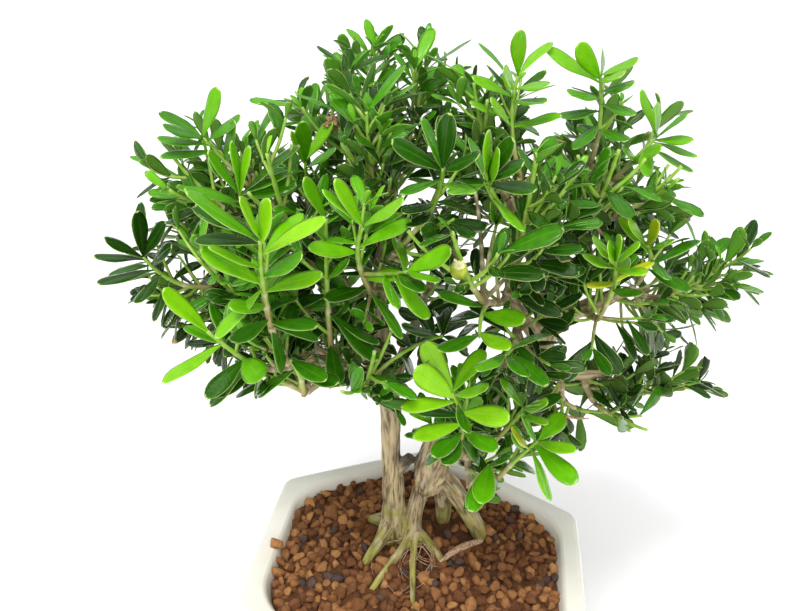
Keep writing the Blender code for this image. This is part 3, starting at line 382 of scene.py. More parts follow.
def srgb(code: str) -> Colour:
    """Linear colour of an sRGB hex value such as "#F4F2E6"."""
    shares = [int(code[i:i + 2], 16) / 255 for i in (1, 3, 5)]
    linear = [s / 12.92 if s <= 0.04045 else ((s + 0.055) / 1.055) ** 2.4 for s in shares]
    return (linear[0], linear[1], linear[2], 1.0)


def per_mm(size: float) -> float:
    """Texture scale, in metres, of a pattern whose features are this many millimetres across."""
    return 1 / (size * MM)


def add_node(
    tree: bpy.types.NodeTree, kind: str, inputs: dict[str | int, object] | None = None, **settings: object
) -> bpy.types.Node:
    """Adds one shader node with its settings and links.

    Args:
        tree: The material's node tree.
        kind: Blender's name of the node type.
        inputs: For a socket's name or index, the output to link to it or the value to give it.
        settings: The node's own properties.

    Returns:
        The new node.
    """
    node = tree.nodes.new(kind)
    for key, value in settings.items():
        setattr(node, key, value)
    for key, value in (inputs or {}).items():
        if isinstance(value, bpy.types.NodeSocket):
            tree.links.new(value, node.inputs[key])
        else:
            node.inputs[key].default_value = value
    return node


def fill_ramp(ramp: bpy.types.Node, stops: Sequence[tuple[float, str]]) -> bpy.types.NodeSocket:
    """Gives a colour ramp its stops, as places from 0 to 1 and hex colours, and returns its colour output."""
    elements = ramp.color_ramp.elements
    while len(elements) < len(stops):
        elements.new(1.0)
    for element, (place, code) in zip(elements, stops):
        element.position = place
        element.color = srgb(code)
    return ramp.outputs["Color"]


def new_material(name: str, **sockets: object) -> tuple[bpy.types.Material, bpy.types.NodeTree, bpy.types.Node]:
    """Makes a material with a Principled shader.

    Args:
        name: The real material's name.
        sockets: Values for the shader's sockets, with underscores for spaces.

    Returns:
        The material, its node tree and its Principled shader.
    """
    made = bpy.data.materials.new(name)
    made.use_nodes = True
    shader = made.node_tree.nodes["Principled BSDF"]
    for key, value in sockets.items():
        shader.inputs[key.replace("_", " ")].default_value = value
    return made, made.node_tree, shader


class Value(Enum):
    """Values that meshes carry at their points for the finishes to read."""

    LEAF_PLACE = "leaf_place"  # across from -1 to 1, along from 0 to 1, and 1 on the underside
    LEAF_KIND = "leaf_kind"  # age, seed and share of the tip that is burnt
    STEM_KIND = "stem_kind"  # woodiness, seed and nearness of a leaf scar
    GRAIN = "grain"  # place across and along the wood's own grain, in millimetres
    BARK = "bark"  # relief from -1 to 1, moss and dead grey wood
    STONE = "stone"  # tone, seed and darkness of a granule


@dataclass(frozen=True)
class BoxwoodLeaf:
    """Living boxwood leaf, with the wax skin that it grew.

    The wax gives soft white glints over the green. Light through the thin blade makes the young leaves
    yellow-green, and the margin and the midrib are paler than the blade.
    """

    ages: tuple[tuple[float, str], ...] = (
        (0.0, "#133108"), (0.3, "#265A08"), (0.55, "#46900B"), (0.78, "#6AB40C"), (1.0, "#93D018"))
    yellow: str = "#D2D028"
    underside: str = "#7DAE46"
    midrib: str = "#9CCB4E"
    margin: str = "#CFE88C"
    burn: str = "#C09A5E"
    mottle_mm: float = 3.0
    pore_mm: float = 0.45
    vein_step: float = 0.09
    wax_roughness: float = 0.15

    def build(self) -> bpy.types.Material:
        """The material, which reads each leaf's place and kind."""
        made, tree, shader = new_material(
            "living_boxwood_leaf", IOR=1.45, Subsurface_Weight=0.22, Subsurface_Scale=0.0012,
            Subsurface_Radius=(0.6, 1.0, 0.15), Specular_IOR_Level=0.42, Specular_Tint=srgb("#F8FFDC"))
        place = add_node(tree, "ShaderNodeSeparateXYZ", {0: self._read(tree, Value.LEAF_PLACE)}).outputs
        kind = add_node(tree, "ShaderNodeSeparateXYZ", {0: self._read(tree, Value.LEAF_KIND)}).outputs
        spot = add_node(tree, "ShaderNodeTexCoord").outputs["Object"]
        turn = add_node(tree, "ShaderNodeMath", {0: kind[1], 1: 37.0}, operation="MULTIPLY").outputs[0]
        mottle = add_node(tree, "ShaderNodeTexNoise", {
            "Vector": spot, "W": turn, "Scale": per_mm(self.mottle_mm), "Detail": 3.0}, noise_dimensions="4D")
        pores = add_node(tree, "ShaderNodeTexNoise", {
            "Vector": spot, "Scale": per_mm(self.pore_mm), "Detail": 2.0})
        side = add_node(tree, "ShaderNodeMath", {0: place[0]}, operation="ABSOLUTE").outputs[0]

        shift = add_node(tree, "ShaderNodeMath", {0: mottle.outputs[0], 1: 0.22, 2: -0.11},
                         operation="MULTIPLY_ADD").outputs[0]
        age = add_node(tree, "ShaderNodeMath", {0: kind[0], 1: shift}, operation="ADD").outputs[0]
        blade = fill_ramp(add_node(tree, "ShaderNodeValToRGB", {0: age}), self.ages)
        old = add_node(tree, "ShaderNodeMapRange", {"Value": age, "From Min": 1.05, "From Max": 1.3}).outputs[0]
        blade = self._mix(tree, old, blade, self.yellow)
        pale = add_node(tree, "ShaderNodeMath", {0: place[2], 1: 0.55}, operation="MULTIPLY").outputs[0]
        colour = self._mix(tree, pale, blade, self.underside)

        rib = add_node(tree, "ShaderNodeMapRange", {
            "Value": side, "From Min": 0.08, "From Max": 0.02, "To Min": 0.0, "To Max": 0.26},
            interpolation_type="SMOOTHSTEP").outputs[0]
        rib_fade = add_node(tree, "ShaderNodeMapRange", {
            "Value": place[1], "From Min": 0.35, "From Max": 1.0, "To Min": 1.0, "To Max": 0.25}).outputs[0]
        rib = add_node(tree, "ShaderNodeMath", {0: rib, 1: rib_fade}, operation="MULTIPLY").outputs[0]
        young = add_node(tree, "ShaderNodeMapRange", {"Value": kind[0], "To Min": 0.45, "To Max": 1.0}).outputs[0]
        rib = add_node(tree, "ShaderNodeMath", {0: rib, 1: young}, operation="MULTIPLY").outputs[0]
        colour = self._mix(tree, rib, colour, self.midrib)

        edge = add_node(tree, "ShaderNodeMapRange", {
            "Value": side, "From Min": 0.88, "From Max": 0.98, "To Min": 0.0, "To Max": 0.8},
            interpolation_type="SMOOTHSTEP").outputs[0]
        tip = add_node(tree, "ShaderNodeMapRange", {
            "Value": place[1], "From Min": 0.965, "From Max": 0.995, "To Min": 0.0, "To Max": 0.8},
            interpolation_type="SMOOTHSTEP").outputs[0]
        edge = add_node(tree, "ShaderNodeMath", {0: edge, 1: tip}, operation="MAXIMUM").outputs[0]
        colour = self._mix(tree, edge, colour, self.margin)

        ragged = add_node(tree, "ShaderNodeMath", {0: mottle.outputs[0], 1: 0.16, 2: -1.08},
                          operation="MULTIPLY_ADD").outputs[0]
        reach = add_node(tree, "ShaderNodeMath", {0: place[1], 1: ragged}, operation="ADD").outputs[0]
        reach = add_node(tree, "ShaderNodeMath", {0: reach, 1: kind[2]}, operation="ADD").outputs[0]
        burnt = add_node(tree, "ShaderNodeMapRange", {"Value": reach, "From Min": 0.0, "From Max": 0.05}).outputs[0]
        has_burn = add_node(tree, "ShaderNodeMath", {0: kind[2], 1: 0.01}, operation="GREATER_THAN").outputs[0]
        burnt = add_node(tree, "ShaderNodeMath", {0: burnt, 1: has_burn}, operation="MULTIPLY").outputs[0]
        colour = self._mix(tree, burnt, colour, self.burn)
        tree.links.new(colour, shader.inputs["Base Color"])

        rough = add_node(tree, "ShaderNodeMath", {0: pores.outputs[0], 1: 0.1, 2: self.wax_roughness - 0.05},
                         operation="MULTIPLY_ADD").outputs[0]
        rough = add_node(tree, "ShaderNodeMath", {0: place[2], 1: 0.2, 2: rough},
                         operation="MULTIPLY_ADD").outputs[0]
        tree.links.new(rough, shader.inputs["Roughness"])
        self._relief(tree, shader, place, side, pores.outputs[0], mottle.outputs[0])
        return made

    def _relief(self, tree, shader, place, side, pores, mottle) -> None:
        """Side veins that run forward from the midrib, the midrib's groove and the skin's fine pores.

        Args:
            tree: The node tree.
            shader: The Principled shader.
            place: Sockets with the place on the leaf.
            side: Socket with the distance from the midrib.
            pores: Socket with the fine noise.
            mottle: Socket with the broad noise.
        """
        slant = add_node(tree, "ShaderNodeMath", {0: side, 1: -0.16, 2: place[1]},
                         operation="MULTIPLY_ADD").outputs[0]
        phase = add_node(tree, "ShaderNodeMath", {0: slant, 1: 2 * math.pi / self.vein_step},
                         operation="MULTIPLY").outputs[0]
        veins = add_node(tree, "ShaderNodeMath", {0: phase}, operation="SINE").outputs[0]
        groove = add_node(tree, "ShaderNodeMapRange", {
            "Value": side, "From Min": 0.0, "From Max": 0.12, "To Min": -1.5, "To Max": 0.0},
            interpolation_type="SMOOTHSTEP").outputs[0]
        height = add_node(tree, "ShaderNodeMath", {0: veins, 1: 0.16, 2: groove},
                          operation="MULTIPLY_ADD").outputs[0]
        height = add_node(tree, "ShaderNodeMath", {0: pores, 1: 0.4, 2: height},
                          operation="MULTIPLY_ADD").outputs[0]
        height = add_node(tree, "ShaderNodeMath", {0: mottle, 1: 2.2, 2: height},
                          operation="MULTIPLY_ADD").outputs[0]
        bump = add_node(tree, "ShaderNodeBump", {"Height": height, "Strength": 0.4, "Distance": 0.0001})
        tree.links.new(bump.outputs[0], shader.inputs["Normal"])

    @staticmethod
    def _read(tree: bpy.types.NodeTree, value: Value) -> bpy.types.NodeSocket:
        """The vector that the mesh carries under a name."""
        return add_node(tree, "ShaderNodeAttribute", attribute_name=value.value).outputs["Vector"]

    @staticmethod
    def _mix(tree, share, colour, other) -> bpy.types.NodeSocket:
        """A colour mixed with another, given as a hex value, by a share."""
        return add_node(tree, "ShaderNodeMix", {0: share, 6: colour, 7: srgb(other)}, data_type="RGBA").outputs[2]


@dataclass(frozen=True)
class BoxwoodStem:
    """Boxwood shoot, green and square while young and corky tan where it has turned to wood.

    The eye sees yellow-green stems that turn straw-coloured, with a pale scar where each old leaf sat.
    """

    green: str = "#8FBE30"
    straw: str = "#B7AC6C"
    wood: str = "#75634A"
    scar: str = "#E0D6B4"
    fibre_mm: float = 0.6

    def build(self) -> bpy.types.Material:
        """The material, which reads how woody each stretch is."""
        made, tree, shader = new_material("boxwood_shoot", Roughness=0.55)
        kind = add_node(tree, "ShaderNodeAttribute", attribute_name=Value.STEM_KIND.value).outputs["Vector"]
        kind = add_node(tree, "ShaderNodeSeparateXYZ", {0: kind}).outputs
        spot = add_node(tree, "ShaderNodeTexCoord").outputs["Object"]
        fibre = add_node(tree, "ShaderNodeTexNoise", {
            "Vector": spot, "Scale": per_mm(self.fibre_mm), "Detail": 4.0}).outputs[0]
        age = add_node(tree, "ShaderNodeMath", {0: fibre, 1: 0.5, 2: kind[0]}, operation="MULTIPLY_ADD").outputs[0]
        age = add_node(tree, "ShaderNodeMath", {0: age, 1: 0.25}, operation="SUBTRACT").outputs[0]
        colour = fill_ramp(add_node(tree, "ShaderNodeValToRGB", {0: age}), (
            (0.0, self.green), (0.35, self.green), (0.6, self.straw), (1.0, self.wood)))
        colour = add_node(tree, "ShaderNodeMix", {0: kind[2], 6: colour, 7: srgb(self.scar)},
                          data_type="RGBA").outputs[2]
        tree.links.new(colour, shader.inputs["Base Color"])
        bump = add_node(tree, "ShaderNodeBump", {"Height": fibre, "Strength": 0.6, "Distance": 0.0002})
        tree.links.new(bump.outputs[0], shader.inputs["Normal"])
        return made


@dataclass(frozen=True)
class BoxwoodBark:
    """Bark of an old boxwood, split by growth into long narrow fissures.

    The ridges are beige and the fissures brown, and painted shade darkens the fissures and low places further. Moss
    greens it near the soil, and dead wood is grey.
    """

    ridge: str = "#D6C49A"
    flank: str = "#B09A74"
    fissure: str = "#6E5A42"
    lichen: str = "#BDB7A2"
    moss: str = "#A5A242"
    dead: str = "#565149"
    fibre_mm: float = 0.75
    fibre_stretch: float = 18.0

    def build(self) -> bpy.types.Material:
        """The material, which follows the wood's own grain."""
        made, tree, shader = new_material("old_boxwood_bark", Roughness=0.86)
        grain = add_node(tree, "ShaderNodeAttribute", attribute_name=Value.GRAIN.value).outputs["Vector"]
        bark = add_node(tree, "ShaderNodeAttribute", attribute_name=Value.BARK.value).outputs["Vector"]
        relief, moss, dead = add_node(tree, "ShaderNodeSeparateXYZ", {0: bark}).outputs
        along = add_node(tree, "ShaderNodeVectorMath", {
            0: grain, 1: (1 / self.fibre_mm, 1 / self.fibre_mm, 1 / self.fibre_stretch)},
            operation="MULTIPLY").outputs[0]
        fibre = add_node(tree, "ShaderNodeTexNoise", {"Vector": along, "Scale": 1.0, "Detail": 5.0,
                                                      "Roughness": 0.62}).outputs[0]
        patch = add_node(tree, "ShaderNodeTexNoise", {"Vector": grain, "Scale": 0.16, "Detail": 3.0}).outputs[0]
        height = add_node(tree, "ShaderNodeMath", {0: fibre, 1: 1.5, 2: -0.75}, operation="MULTIPLY_ADD").outputs[0]
        height = add_node(tree, "ShaderNodeMath", {0: relief, 1: 0.62, 2: height},
                          operation="MULTIPLY_ADD").outputs[0]
        tone = add_node(tree, "ShaderNodeMapRange", {
            "Value": height, "From Min": -0.75, "From Max": 0.75}).outputs[0]
        colour = fill_ramp(add_node(tree, "ShaderNodeValToRGB", {0: tone}), (
            (0.0, self.fissure), (0.42, self.flank), (0.75, self.ridge), (1.0, self.ridge)))
        for share, low, high, code in ((patch, 0.5, 0.75, self.lichen), (moss, 0.0, 1.0, self.moss),
                                       (dead, 0.0, 1.0, self.dead)):
            amount = add_node(tree, "ShaderNodeMapRange", {
                "Value": share, "From Min": low, "From Max": high, "To Max": 0.85}).outputs[0]
            colour = add_node(tree, "ShaderNodeMix", {0: amount, 6: colour, 7: srgb(code)},
                              data_type="RGBA").outputs[2]
        # Painted shade: the colour is multiplied darker where the relief is low, in the fissures.
        painted_fissure_shade = add_node(tree, "ShaderNodeMapRange", {
            "Value": height, "From Min": -0.7, "From Max": 0.1, "To Min": 0.5, "To Max": 1.0}).outputs[0]
        dark = add_node(tree, "ShaderNodeMix", {0: 1.0, 6: colour, 7: painted_fissure_shade}, data_type="RGBA",
                        blend_type="MULTIPLY").outputs[2]
        tree.links.new(dark, shader.inputs["Base Color"])
        bump = add_node(tree, "ShaderNodeBump", {"Height": fibre, "Strength": 0.7, "Distance": 0.0005})
        tree.links.new(bump.outputs[0], shader.inputs["Normal"])
        return made


@dataclass(frozen=True)
class BakedClay:
    """Baked-clay granules, fired hard and left rough and porous.

    Each stone is its own red-brown, dusty on its high points, and a few are burnt dark.
    """

    tones: tuple[tuple[float, str], ...] = (
        (0.0, "#5A3822"), (0.35, "#7F5232"), (0.7, "#9C6B42"), (1.0, "#BD8A54"))
    burnt: str = "#4C4242"
    dust: str = "#C9A27A"
    pore_mm: float = 0.55
    patch_mm: float = 2.6

    def build(self) -> bpy.types.Material:
        """The material, which reads each stone's tone."""
        made, tree, shader = new_material("baked_clay", Roughness=0.95, Specular_IOR_Level=0.25)
        kind = add_node(tree, "ShaderNodeAttribute", attribute_name=Value.STONE.value).outputs["Vector"]
        kind = add_node(tree, "ShaderNodeSeparateXYZ", {0: kind}).outputs
        spot = add_node(tree, "ShaderNodeTexCoord").outputs["Object"]
        patch = add_node(tree, "ShaderNodeTexNoise", {
            "Vector": spot, "Scale": per_mm(self.patch_mm), "Detail": 4.0, "Roughness": 0.6}).outputs[0]
        pores = add_node(tree, "ShaderNodeTexNoise", {
            "Vector": spot, "Scale": per_mm(self.pore_mm), "Detail": 3.0, "Roughness": 0.65}).outputs[0]
        tone = add_node(tree, "ShaderNodeMath", {0: patch, 1: 0.7, 2: -0.35}, operation="MULTIPLY_ADD").outputs[0]
        tone = add_node(tree, "ShaderNodeMath", {0: tone, 1: kind[0]}, operation="ADD").outputs[0]
        colour = fill_ramp(add_node(tree, "ShaderNodeValToRGB", {0: tone}), self.tones)
        colour = add_node(tree, "ShaderNodeMix", {0: kind[2], 6: colour, 7: srgb(self.burnt)},
                          data_type="RGBA").outputs[2]
        dusty = add_node(tree, "ShaderNodeMapRange", {
            "Value": pores, "From Min": 0.6, "From Max": 0.8, "To Max": 0.45}).outputs[0]
        colour = add_node(tree, "ShaderNodeMix", {0: dusty, 6: colour, 7: srgb(self.dust)},
                          data_type="RGBA").outputs[2]
        tree.links.new(colour, shader.inputs["Base Color"])
        height = add_node(tree, "ShaderNodeMath", {0: patch, 1: 1.5, 2: pores},
                          operation="MULTIPLY_ADD").outputs[0]
        bump = add_node(tree, "ShaderNodeBump", {"Height": height, "Strength": 0.9, "Distance": 0.0005})
        tree.links.new(bump.outputs[0], shader.inputs["Normal"])
        return made


@dataclass(frozen=True)
class CreamGlaze:
    """Stoneware under a thick cream-white glaze, dipped and fired.

    It is smooth and glossy with a slow ripple, a little uneven in tone, with rare iron specks.
    """

    pale: str = "#F6F4EA"
    deep: str = "#E9E5D6"
    speck: str = "#B59A78"
    cloud_mm: float = 34.0
    speck_mm: float = 5.0
    ripple_mm: float = 11.0

    def build(self) -> bpy.types.Material:
        """The glaze's material."""
        made, tree, shader = new_material("cream_glaze", Roughness=0.16, IOR=1.52, Coat_Weight=0.4,
                                          Coat_Roughness=0.06)
        spot = add_node(tree, "ShaderNodeTexCoord").outputs["Object"]
        cloud = add_node(tree, "ShaderNodeTexNoise", {
            "Vector": spot, "Scale": per_mm(self.cloud_mm), "Detail": 4.0}).outputs[0]
        speck = add_node(tree, "ShaderNodeTexNoise", {
            "Vector": spot, "Scale": per_mm(self.speck_mm), "Detail": 1.0}).outputs[0]
        ripple = add_node(tree, "ShaderNodeTexNoise", {
            "Vector": spot, "Scale": per_mm(self.ripple_mm), "Detail": 1.0}).outputs[0]
        colour = fill_ramp(add_node(tree, "ShaderNodeValToRGB", {0: cloud}), ((0.35, self.pale), (0.75, self.deep)))
        marked = add_node(tree, "ShaderNodeMapRange", {
            "Value": speck, "From Min": 0.79, "From Max": 0.83, "To Max": 0.5}).outputs[0]
        colour = add_node(tree, "ShaderNodeMix", {0: marked, 6: colour, 7: srgb(self.speck)},
                          data_type="RGBA").outputs[2]
        tree.links.new(colour, shader.inputs["Base Color"])
        bump = add_node(tree, "ShaderNodeBump", {"Height": ripple, "Strength": 0.35, "Distance": 0.0005})
        tree.links.new(bump.outputs[0], shader.inputs["Normal"])
        return made


@dataclass(frozen=True)
class PlainFinish:
    """A small natural finish of two tones in patches, such as a dry husk or a waxy capsule.

    Attributes:
        name: The real material.
        light: Colour of the high patches.
        dark: Colour of the low patches.
        patch_mm: Size of a patch.
        roughness: Of the surface.
        depth_mm: Depth of the fine relief.
    """

    name: str
    light: str
    dark: str
    patch_mm: float
    roughness: float
    depth_mm: float

    def build(self) -> bpy.types.Material:
        """The material."""
        made, tree, shader = new_material(self.name, Roughness=self.roughness)
        spot = add_node(tree, "ShaderNodeTexCoord").outputs["Object"]
        patch = add_node(tree, "ShaderNodeTexNoise", {
            "Vector": spot, "Scale": per_mm(self.patch_mm), "Detail": 4.0}).outputs[0]
        colour = fill_ramp(add_node(tree, "ShaderNodeValToRGB", {0: patch}), ((0.36, self.dark), (0.62, self.light)))
        tree.links.new(colour, shader.inputs["Base Color"])
        bump = add_node(tree, "ShaderNodeBump", {
            "Height": patch, "Strength": 0.7, "Distance": self.depth_mm * MM})
        tree.links.new(bump.outputs[0], shader.inputs["Normal"])
        return made


@dataclass
class Skin:
    """Points, faces and point values of one piece while it is being built."""

    points: list[np.ndarray] = field(default_factory=list)
    faces: list[tuple[int, ...]] = field(default_factory=list)
    looks: list[int] = field(default_factory=list)
    values: dict[Value, list[np.ndarray]] = field(default_factory=dict)
    count: int = 0

    def add(self, points: np.ndarray, faces: Iterable[Sequence[int]], look: int = 0,
            values: dict[Value, np.ndarray] | None = None) -> None:
        """Adds one closed shape.

        Args:
            points: Its points, in millimetres.
            faces: Its faces, by the shape's own point numbers.
            look: Number of its material on the piece.
            values: For each point, the vector to carry.
        """
        before = len(self.faces)
        self.faces += [tuple(self.count + i for i in face) for face in faces]
        self.looks += [look] * (len(self.faces) - before)
        given = values or {}
        for value in set(self.values) | set(given):
            rows = self.values.setdefault(value, [np.zeros((self.count, 3))] if self.count else [])
            rows.append(given.get(value, np.zeros((len(points), 3))))
        self.points.append(np.asarray(points, float))
        self.count += len(points)

    def to_object(self, name: str, materials: Sequence[bpy.types.Material], smooth: bool = True) -> bpy.types.Object:
        """The piece as a smooth-shaded object in metres, with its materials and point values."""
        mesh = bpy.data.meshes.new(name)
        mesh.from_pydata((np.concatenate(self.points) * MM).tolist(), [], self.faces)
        mesh.polygons.foreach_set("material_index", self.looks)
        mesh.polygons.foreach_set("use_smooth", [smooth] * len(self.faces))
        for value, rows in self.values.items():
            store(mesh, value, np.concatenate(rows))
        for material in materials:
            mesh.materials.append(material)
        made = bpy.data.objects.new(name, mesh)
        bpy.context.scene.collection.objects.link(made)
        return made


def store(mesh: bpy.types.Mesh, value: Value, rows: np.ndarray) -> None:
    """Writes a vector for each point of a mesh under the value's name."""
    layer = mesh.attributes.new(value.value, "FLOAT_VECTOR", "POINT")
    layer.data.foreach_set("vector", np.asarray(rows, np.float32).ravel())


def place_piece(piece: bpy.types.Object, slot: str, *nodes: str) -> bpy.types.Object:
    """Lets a piece ride on the plant's one body, hides the solids that it stands for and logs its triangles."""
    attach(piece, BODY)
    if nodes:
        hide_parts(*nodes)
    faces = sum(len(face.vertices) - 2 for face in piece.data.polygons)
    LOG.info("%s: %d triangles", piece.name, faces)
    return piece


def across(direction: Vector, hint: Vector = UP) -> Vector:
    """A unit vector square to a direction, on the side of a hint."""
    side = hint - direction * hint.dot(direction)
    if side.length < 1e-3:
        side = Vector((1, 0, 0)) - direction * direction.x
    return side.normalized()


def loft(rings: Sequence[Path], capped: bool = True) -> tuple[list[Vector], Faces]:
    """Points and faces of a skin over rings of equal length, capped at the first and last unless open."""
    count = len(rings[0])
    points = [point for ring in rings for point in ring]
    faces: Faces = []
    for level in range(len(rings) - 1):
        low, high = level * count, (level + 1) * count
        for i in range(count):
            j = (i + 1) % count
            faces.append((low + i, low + j, high + j, high + i))
    if capped:
        last = (len(rings) - 1) * count
        faces.append(tuple(reversed(range(count))))
        faces.append(tuple(range(last, last + count)))
    return points, faces


def tube(path: Path, radii: Sequence[float], sides: int, flute: float = 0.0) -> tuple[list[Vector], Faces]:
    """Points and faces of a closed tube along a path.

    Args:
        path: Points of its middle line.
        radii: Its radius at each point.
        sides: Number of sides.
        flute: Depth of three hollows round it, as a share of the radius.

    Returns:
        The tube's points and its faces.
    """
    rings = []
    normal = None
    for i, point in enumerate(path):
        ahead = path[min(i + 1, len(path) - 1)] - path[max(i - 1, 0)]
        ahead.normalize()
        normal = across(ahead, Vector((1, 0.3, 0)) if normal is None else normal)
        second = ahead.cross(normal)
        ring = []
        for k in range(sides):
            angle = 2 * math.pi * k / sides
            reach = radii[i] * (1 + flute * math.cos(3 * angle + 0.35 * i))
            ring.append(point + (normal * math.cos(angle) + second * math.sin(angle)) * reach)
        rings.append(ring)
    return loft(rings)


@dataclass
class PhotoView:
    """The camera that took the picture, in the plant's frame.

    Attributes:
        place: Where it stands.
        turn: Its turn from +Y towards -X, in degrees.
        tilt: How far it looks down, in degrees.
        roll: Its roll, in degrees.
        lens: Focal length on a sensor 36 mm wide.
        frame: The picture's size in pixels.
    """

    place: tuple[float, float, float] = (16.5, -285.2, 337.9)
    turn: float = 6.41
    tilt: float = -25.56
    roll: float = 2.96
    lens: float = 35.1
    sensor: float = 36.0
    frame: tuple[int, int] = (800, 611)

    def __post_init__(self) -> None:
        """Works out the camera's axes and its focal length in pixels."""
        self.focal = self.lens / self.sensor * self.frame[0]
        self.axes = (Matrix.Rotation(math.radians(self.turn), 3, "Z")
                     @ Matrix.Rotation(math.radians(90 + self.tilt), 3, "X")
                     @ Matrix.Rotation(math.radians(self.roll), 3, "Z"))
        self.eye = Vector(self.place)

    def ray(self, x: float, y: float) -> Vector:
        """Step from the camera towards a pixel that goes one unit away from the camera's plane."""
        return self.axes @ Vector(((x - self.frame[0] / 2) / self.focal, (self.frame[1] / 2 - y) / self.focal, -1))

    def seen(self, point: Vector) -> tuple[float, float, float]:
        """Pixel of a point, and its distance from the camera's plane."""
        x, y, z = self.axes.transposed() @ (point - self.eye)
        return self.frame[0] / 2 - x / z * self.focal, self.frame[1] / 2 + y / z * self.focal, -z

    def build(self) -> None:
        """Makes the scene's camera."""
        data = bpy.data.cameras.new("photo_view")
        data.lens = self.lens
        data.sensor_width = self.sensor
        data.clip_start = 0.01
        camera = bpy.data.objects.new("photo_view", data)
        bpy.context.scene.collection.objects.link(camera)
        camera.matrix_world = Matrix.Translation(self.eye * MM) @ self.axes.to_4x4()
        bpy.context.scene.camera = camera


def within(polygon: Sequence[tuple[float, float]], x: float, y: float) -> bool:
    """Whether a pixel is inside a polygon."""
    inside = False
    for (ax, ay), (bx, by) in zip(polygon, (*polygon[1:], polygon[0])):
        if (ay > y) != (by > y) and x < ax + (y - ay) / (by - ay) * (bx - ax):
            inside = not inside
    return inside


class Curve:
    """A bent line from start to end with one control point, read by its share from 0 to 1."""

    def __init__(self, start: Vector, control: Vector, end: Vector) -> None:
        """Keeps the three points and works out the length."""
        self.start, self.control, self.end = start, control, end
        self.length = ((end - start).length + (control - start).length + (end - control).length) / 2

    def point(self, t: float) -> Vector:
        """The point at a share of the curve."""
        return self.start * (1 - t) ** 2 + self.control * (2 * t * (1 - t)) + self.end * t ** 2

    def tangent(self, t: float) -> Vector:
        """The direction at a share of the curve."""
        return ((self.control - self.start) * (1 - t) + (self.end - self.control) * t).normalized()


class Space:
    """What already stands in the crown, by owner, so that a new blade can be set clear of it."""

    CELL = 20.0

    def __init__(self) -> None:
        """Starts empty."""
        self.shapes: list[tuple[str, list[float], list[float], BVHTree]] = []
        self.cells: dict[tuple[int, int, int], list[int]] = {}

    @staticmethod
    def box(points: Path) -> tuple[list[float], list[float]]:
        """Lowest and highest corner of some points."""
        return [min(p[k] for p in points) for k in range(3)], [max(p[k] for p in points) for k in range(3)]

    def _keys(self, low: Sequence[float], high: Sequence[float]) -> Iterable[tuple[int, int, int]]:
        """The cells that a box reaches."""
        spans = [range(int(low[k] // self.CELL), int(high[k] // self.CELL) + 1) for k in range(3)]
        return ((x, y, z) for x in spans[0] for y in spans[1] for z in spans[2])

    def add(self, owner: str, points: Path, faces: Faces) -> int:
        """Keeps a shape under its owner's name and returns its number."""
        low, high = self.box(points)
        for key in self._keys(low, high):
            self.cells.setdefault(key, []).append(len(self.shapes))
        self.shapes.append((owner, low, high, BVHTree.FromPolygons(points, faces)))
        return len(self.shapes) - 1

    def drop(self, number: int) -> None:
        """Takes a shape away."""
        _, low, high, _ = self.shapes[number]
        for key in self._keys(low, high):
            self.cells[key].remove(number)

    def clear(self, points: Path, faces: Faces, skip: Sequence[str] = ()) -> bool:
        """Whether a shape crosses nothing that is kept, apart from what its skipped owners hold."""
        return not any(True for _ in self.crossed(points, faces, skip))

    def crossed(self, points: Path, faces: Faces, skip: Sequence[str] = ()) -> Iterable[int]:
        """Numbers of the kept shapes that a shape crosses, apart from what its skipped owners hold."""
        low, high = self.box(points)
        tree = None
        near = {i for key in self._keys(low, high) for i in self.cells.get(key, ())}
        for i in sorted(near):
            owner, other_low, other_high, other = self.shapes[i]
            if owner in skip or any(low[k] > other_high[k] or high[k] < other_low[k] for k in range(3)):
                continue
            tree = tree or BVHTree.FromPolygons(points, faces)
            if tree.overlap(other):
                yield i


@dataclass
class Leaf:
    """One leaf: where it leaves its stem, how it lies and how old it is.

    Attributes:
        root: Where it leaves the stem.
        along: Direction of its base.
        face: Its upper side.
        length: From stem to tip.
        age: 0 for an old dark leaf to 1 for a new one.
        ratio: Width over length.
        arch: How far the tip bends down, as a share of the length.
        fold: How far the halves rise from the midrib.
        twist: Turn of the tip about the midrib, in radians.
        burnt: Share of the tip that is brown.
        cut: Whether shears trimmed its tip square.
        number: Number of the shape that keeps its place in the space.
    """

    root: Vector
    along: Vector
    face: Vector
    length: float
    age: float
    ratio: float = LEAF_RATIO
    arch: float = LEAF_ARCH
    fold: float = 0.1
    twist: float = 0.0
    burnt: float = 0.0
    cut: bool = False
    number: int = -1


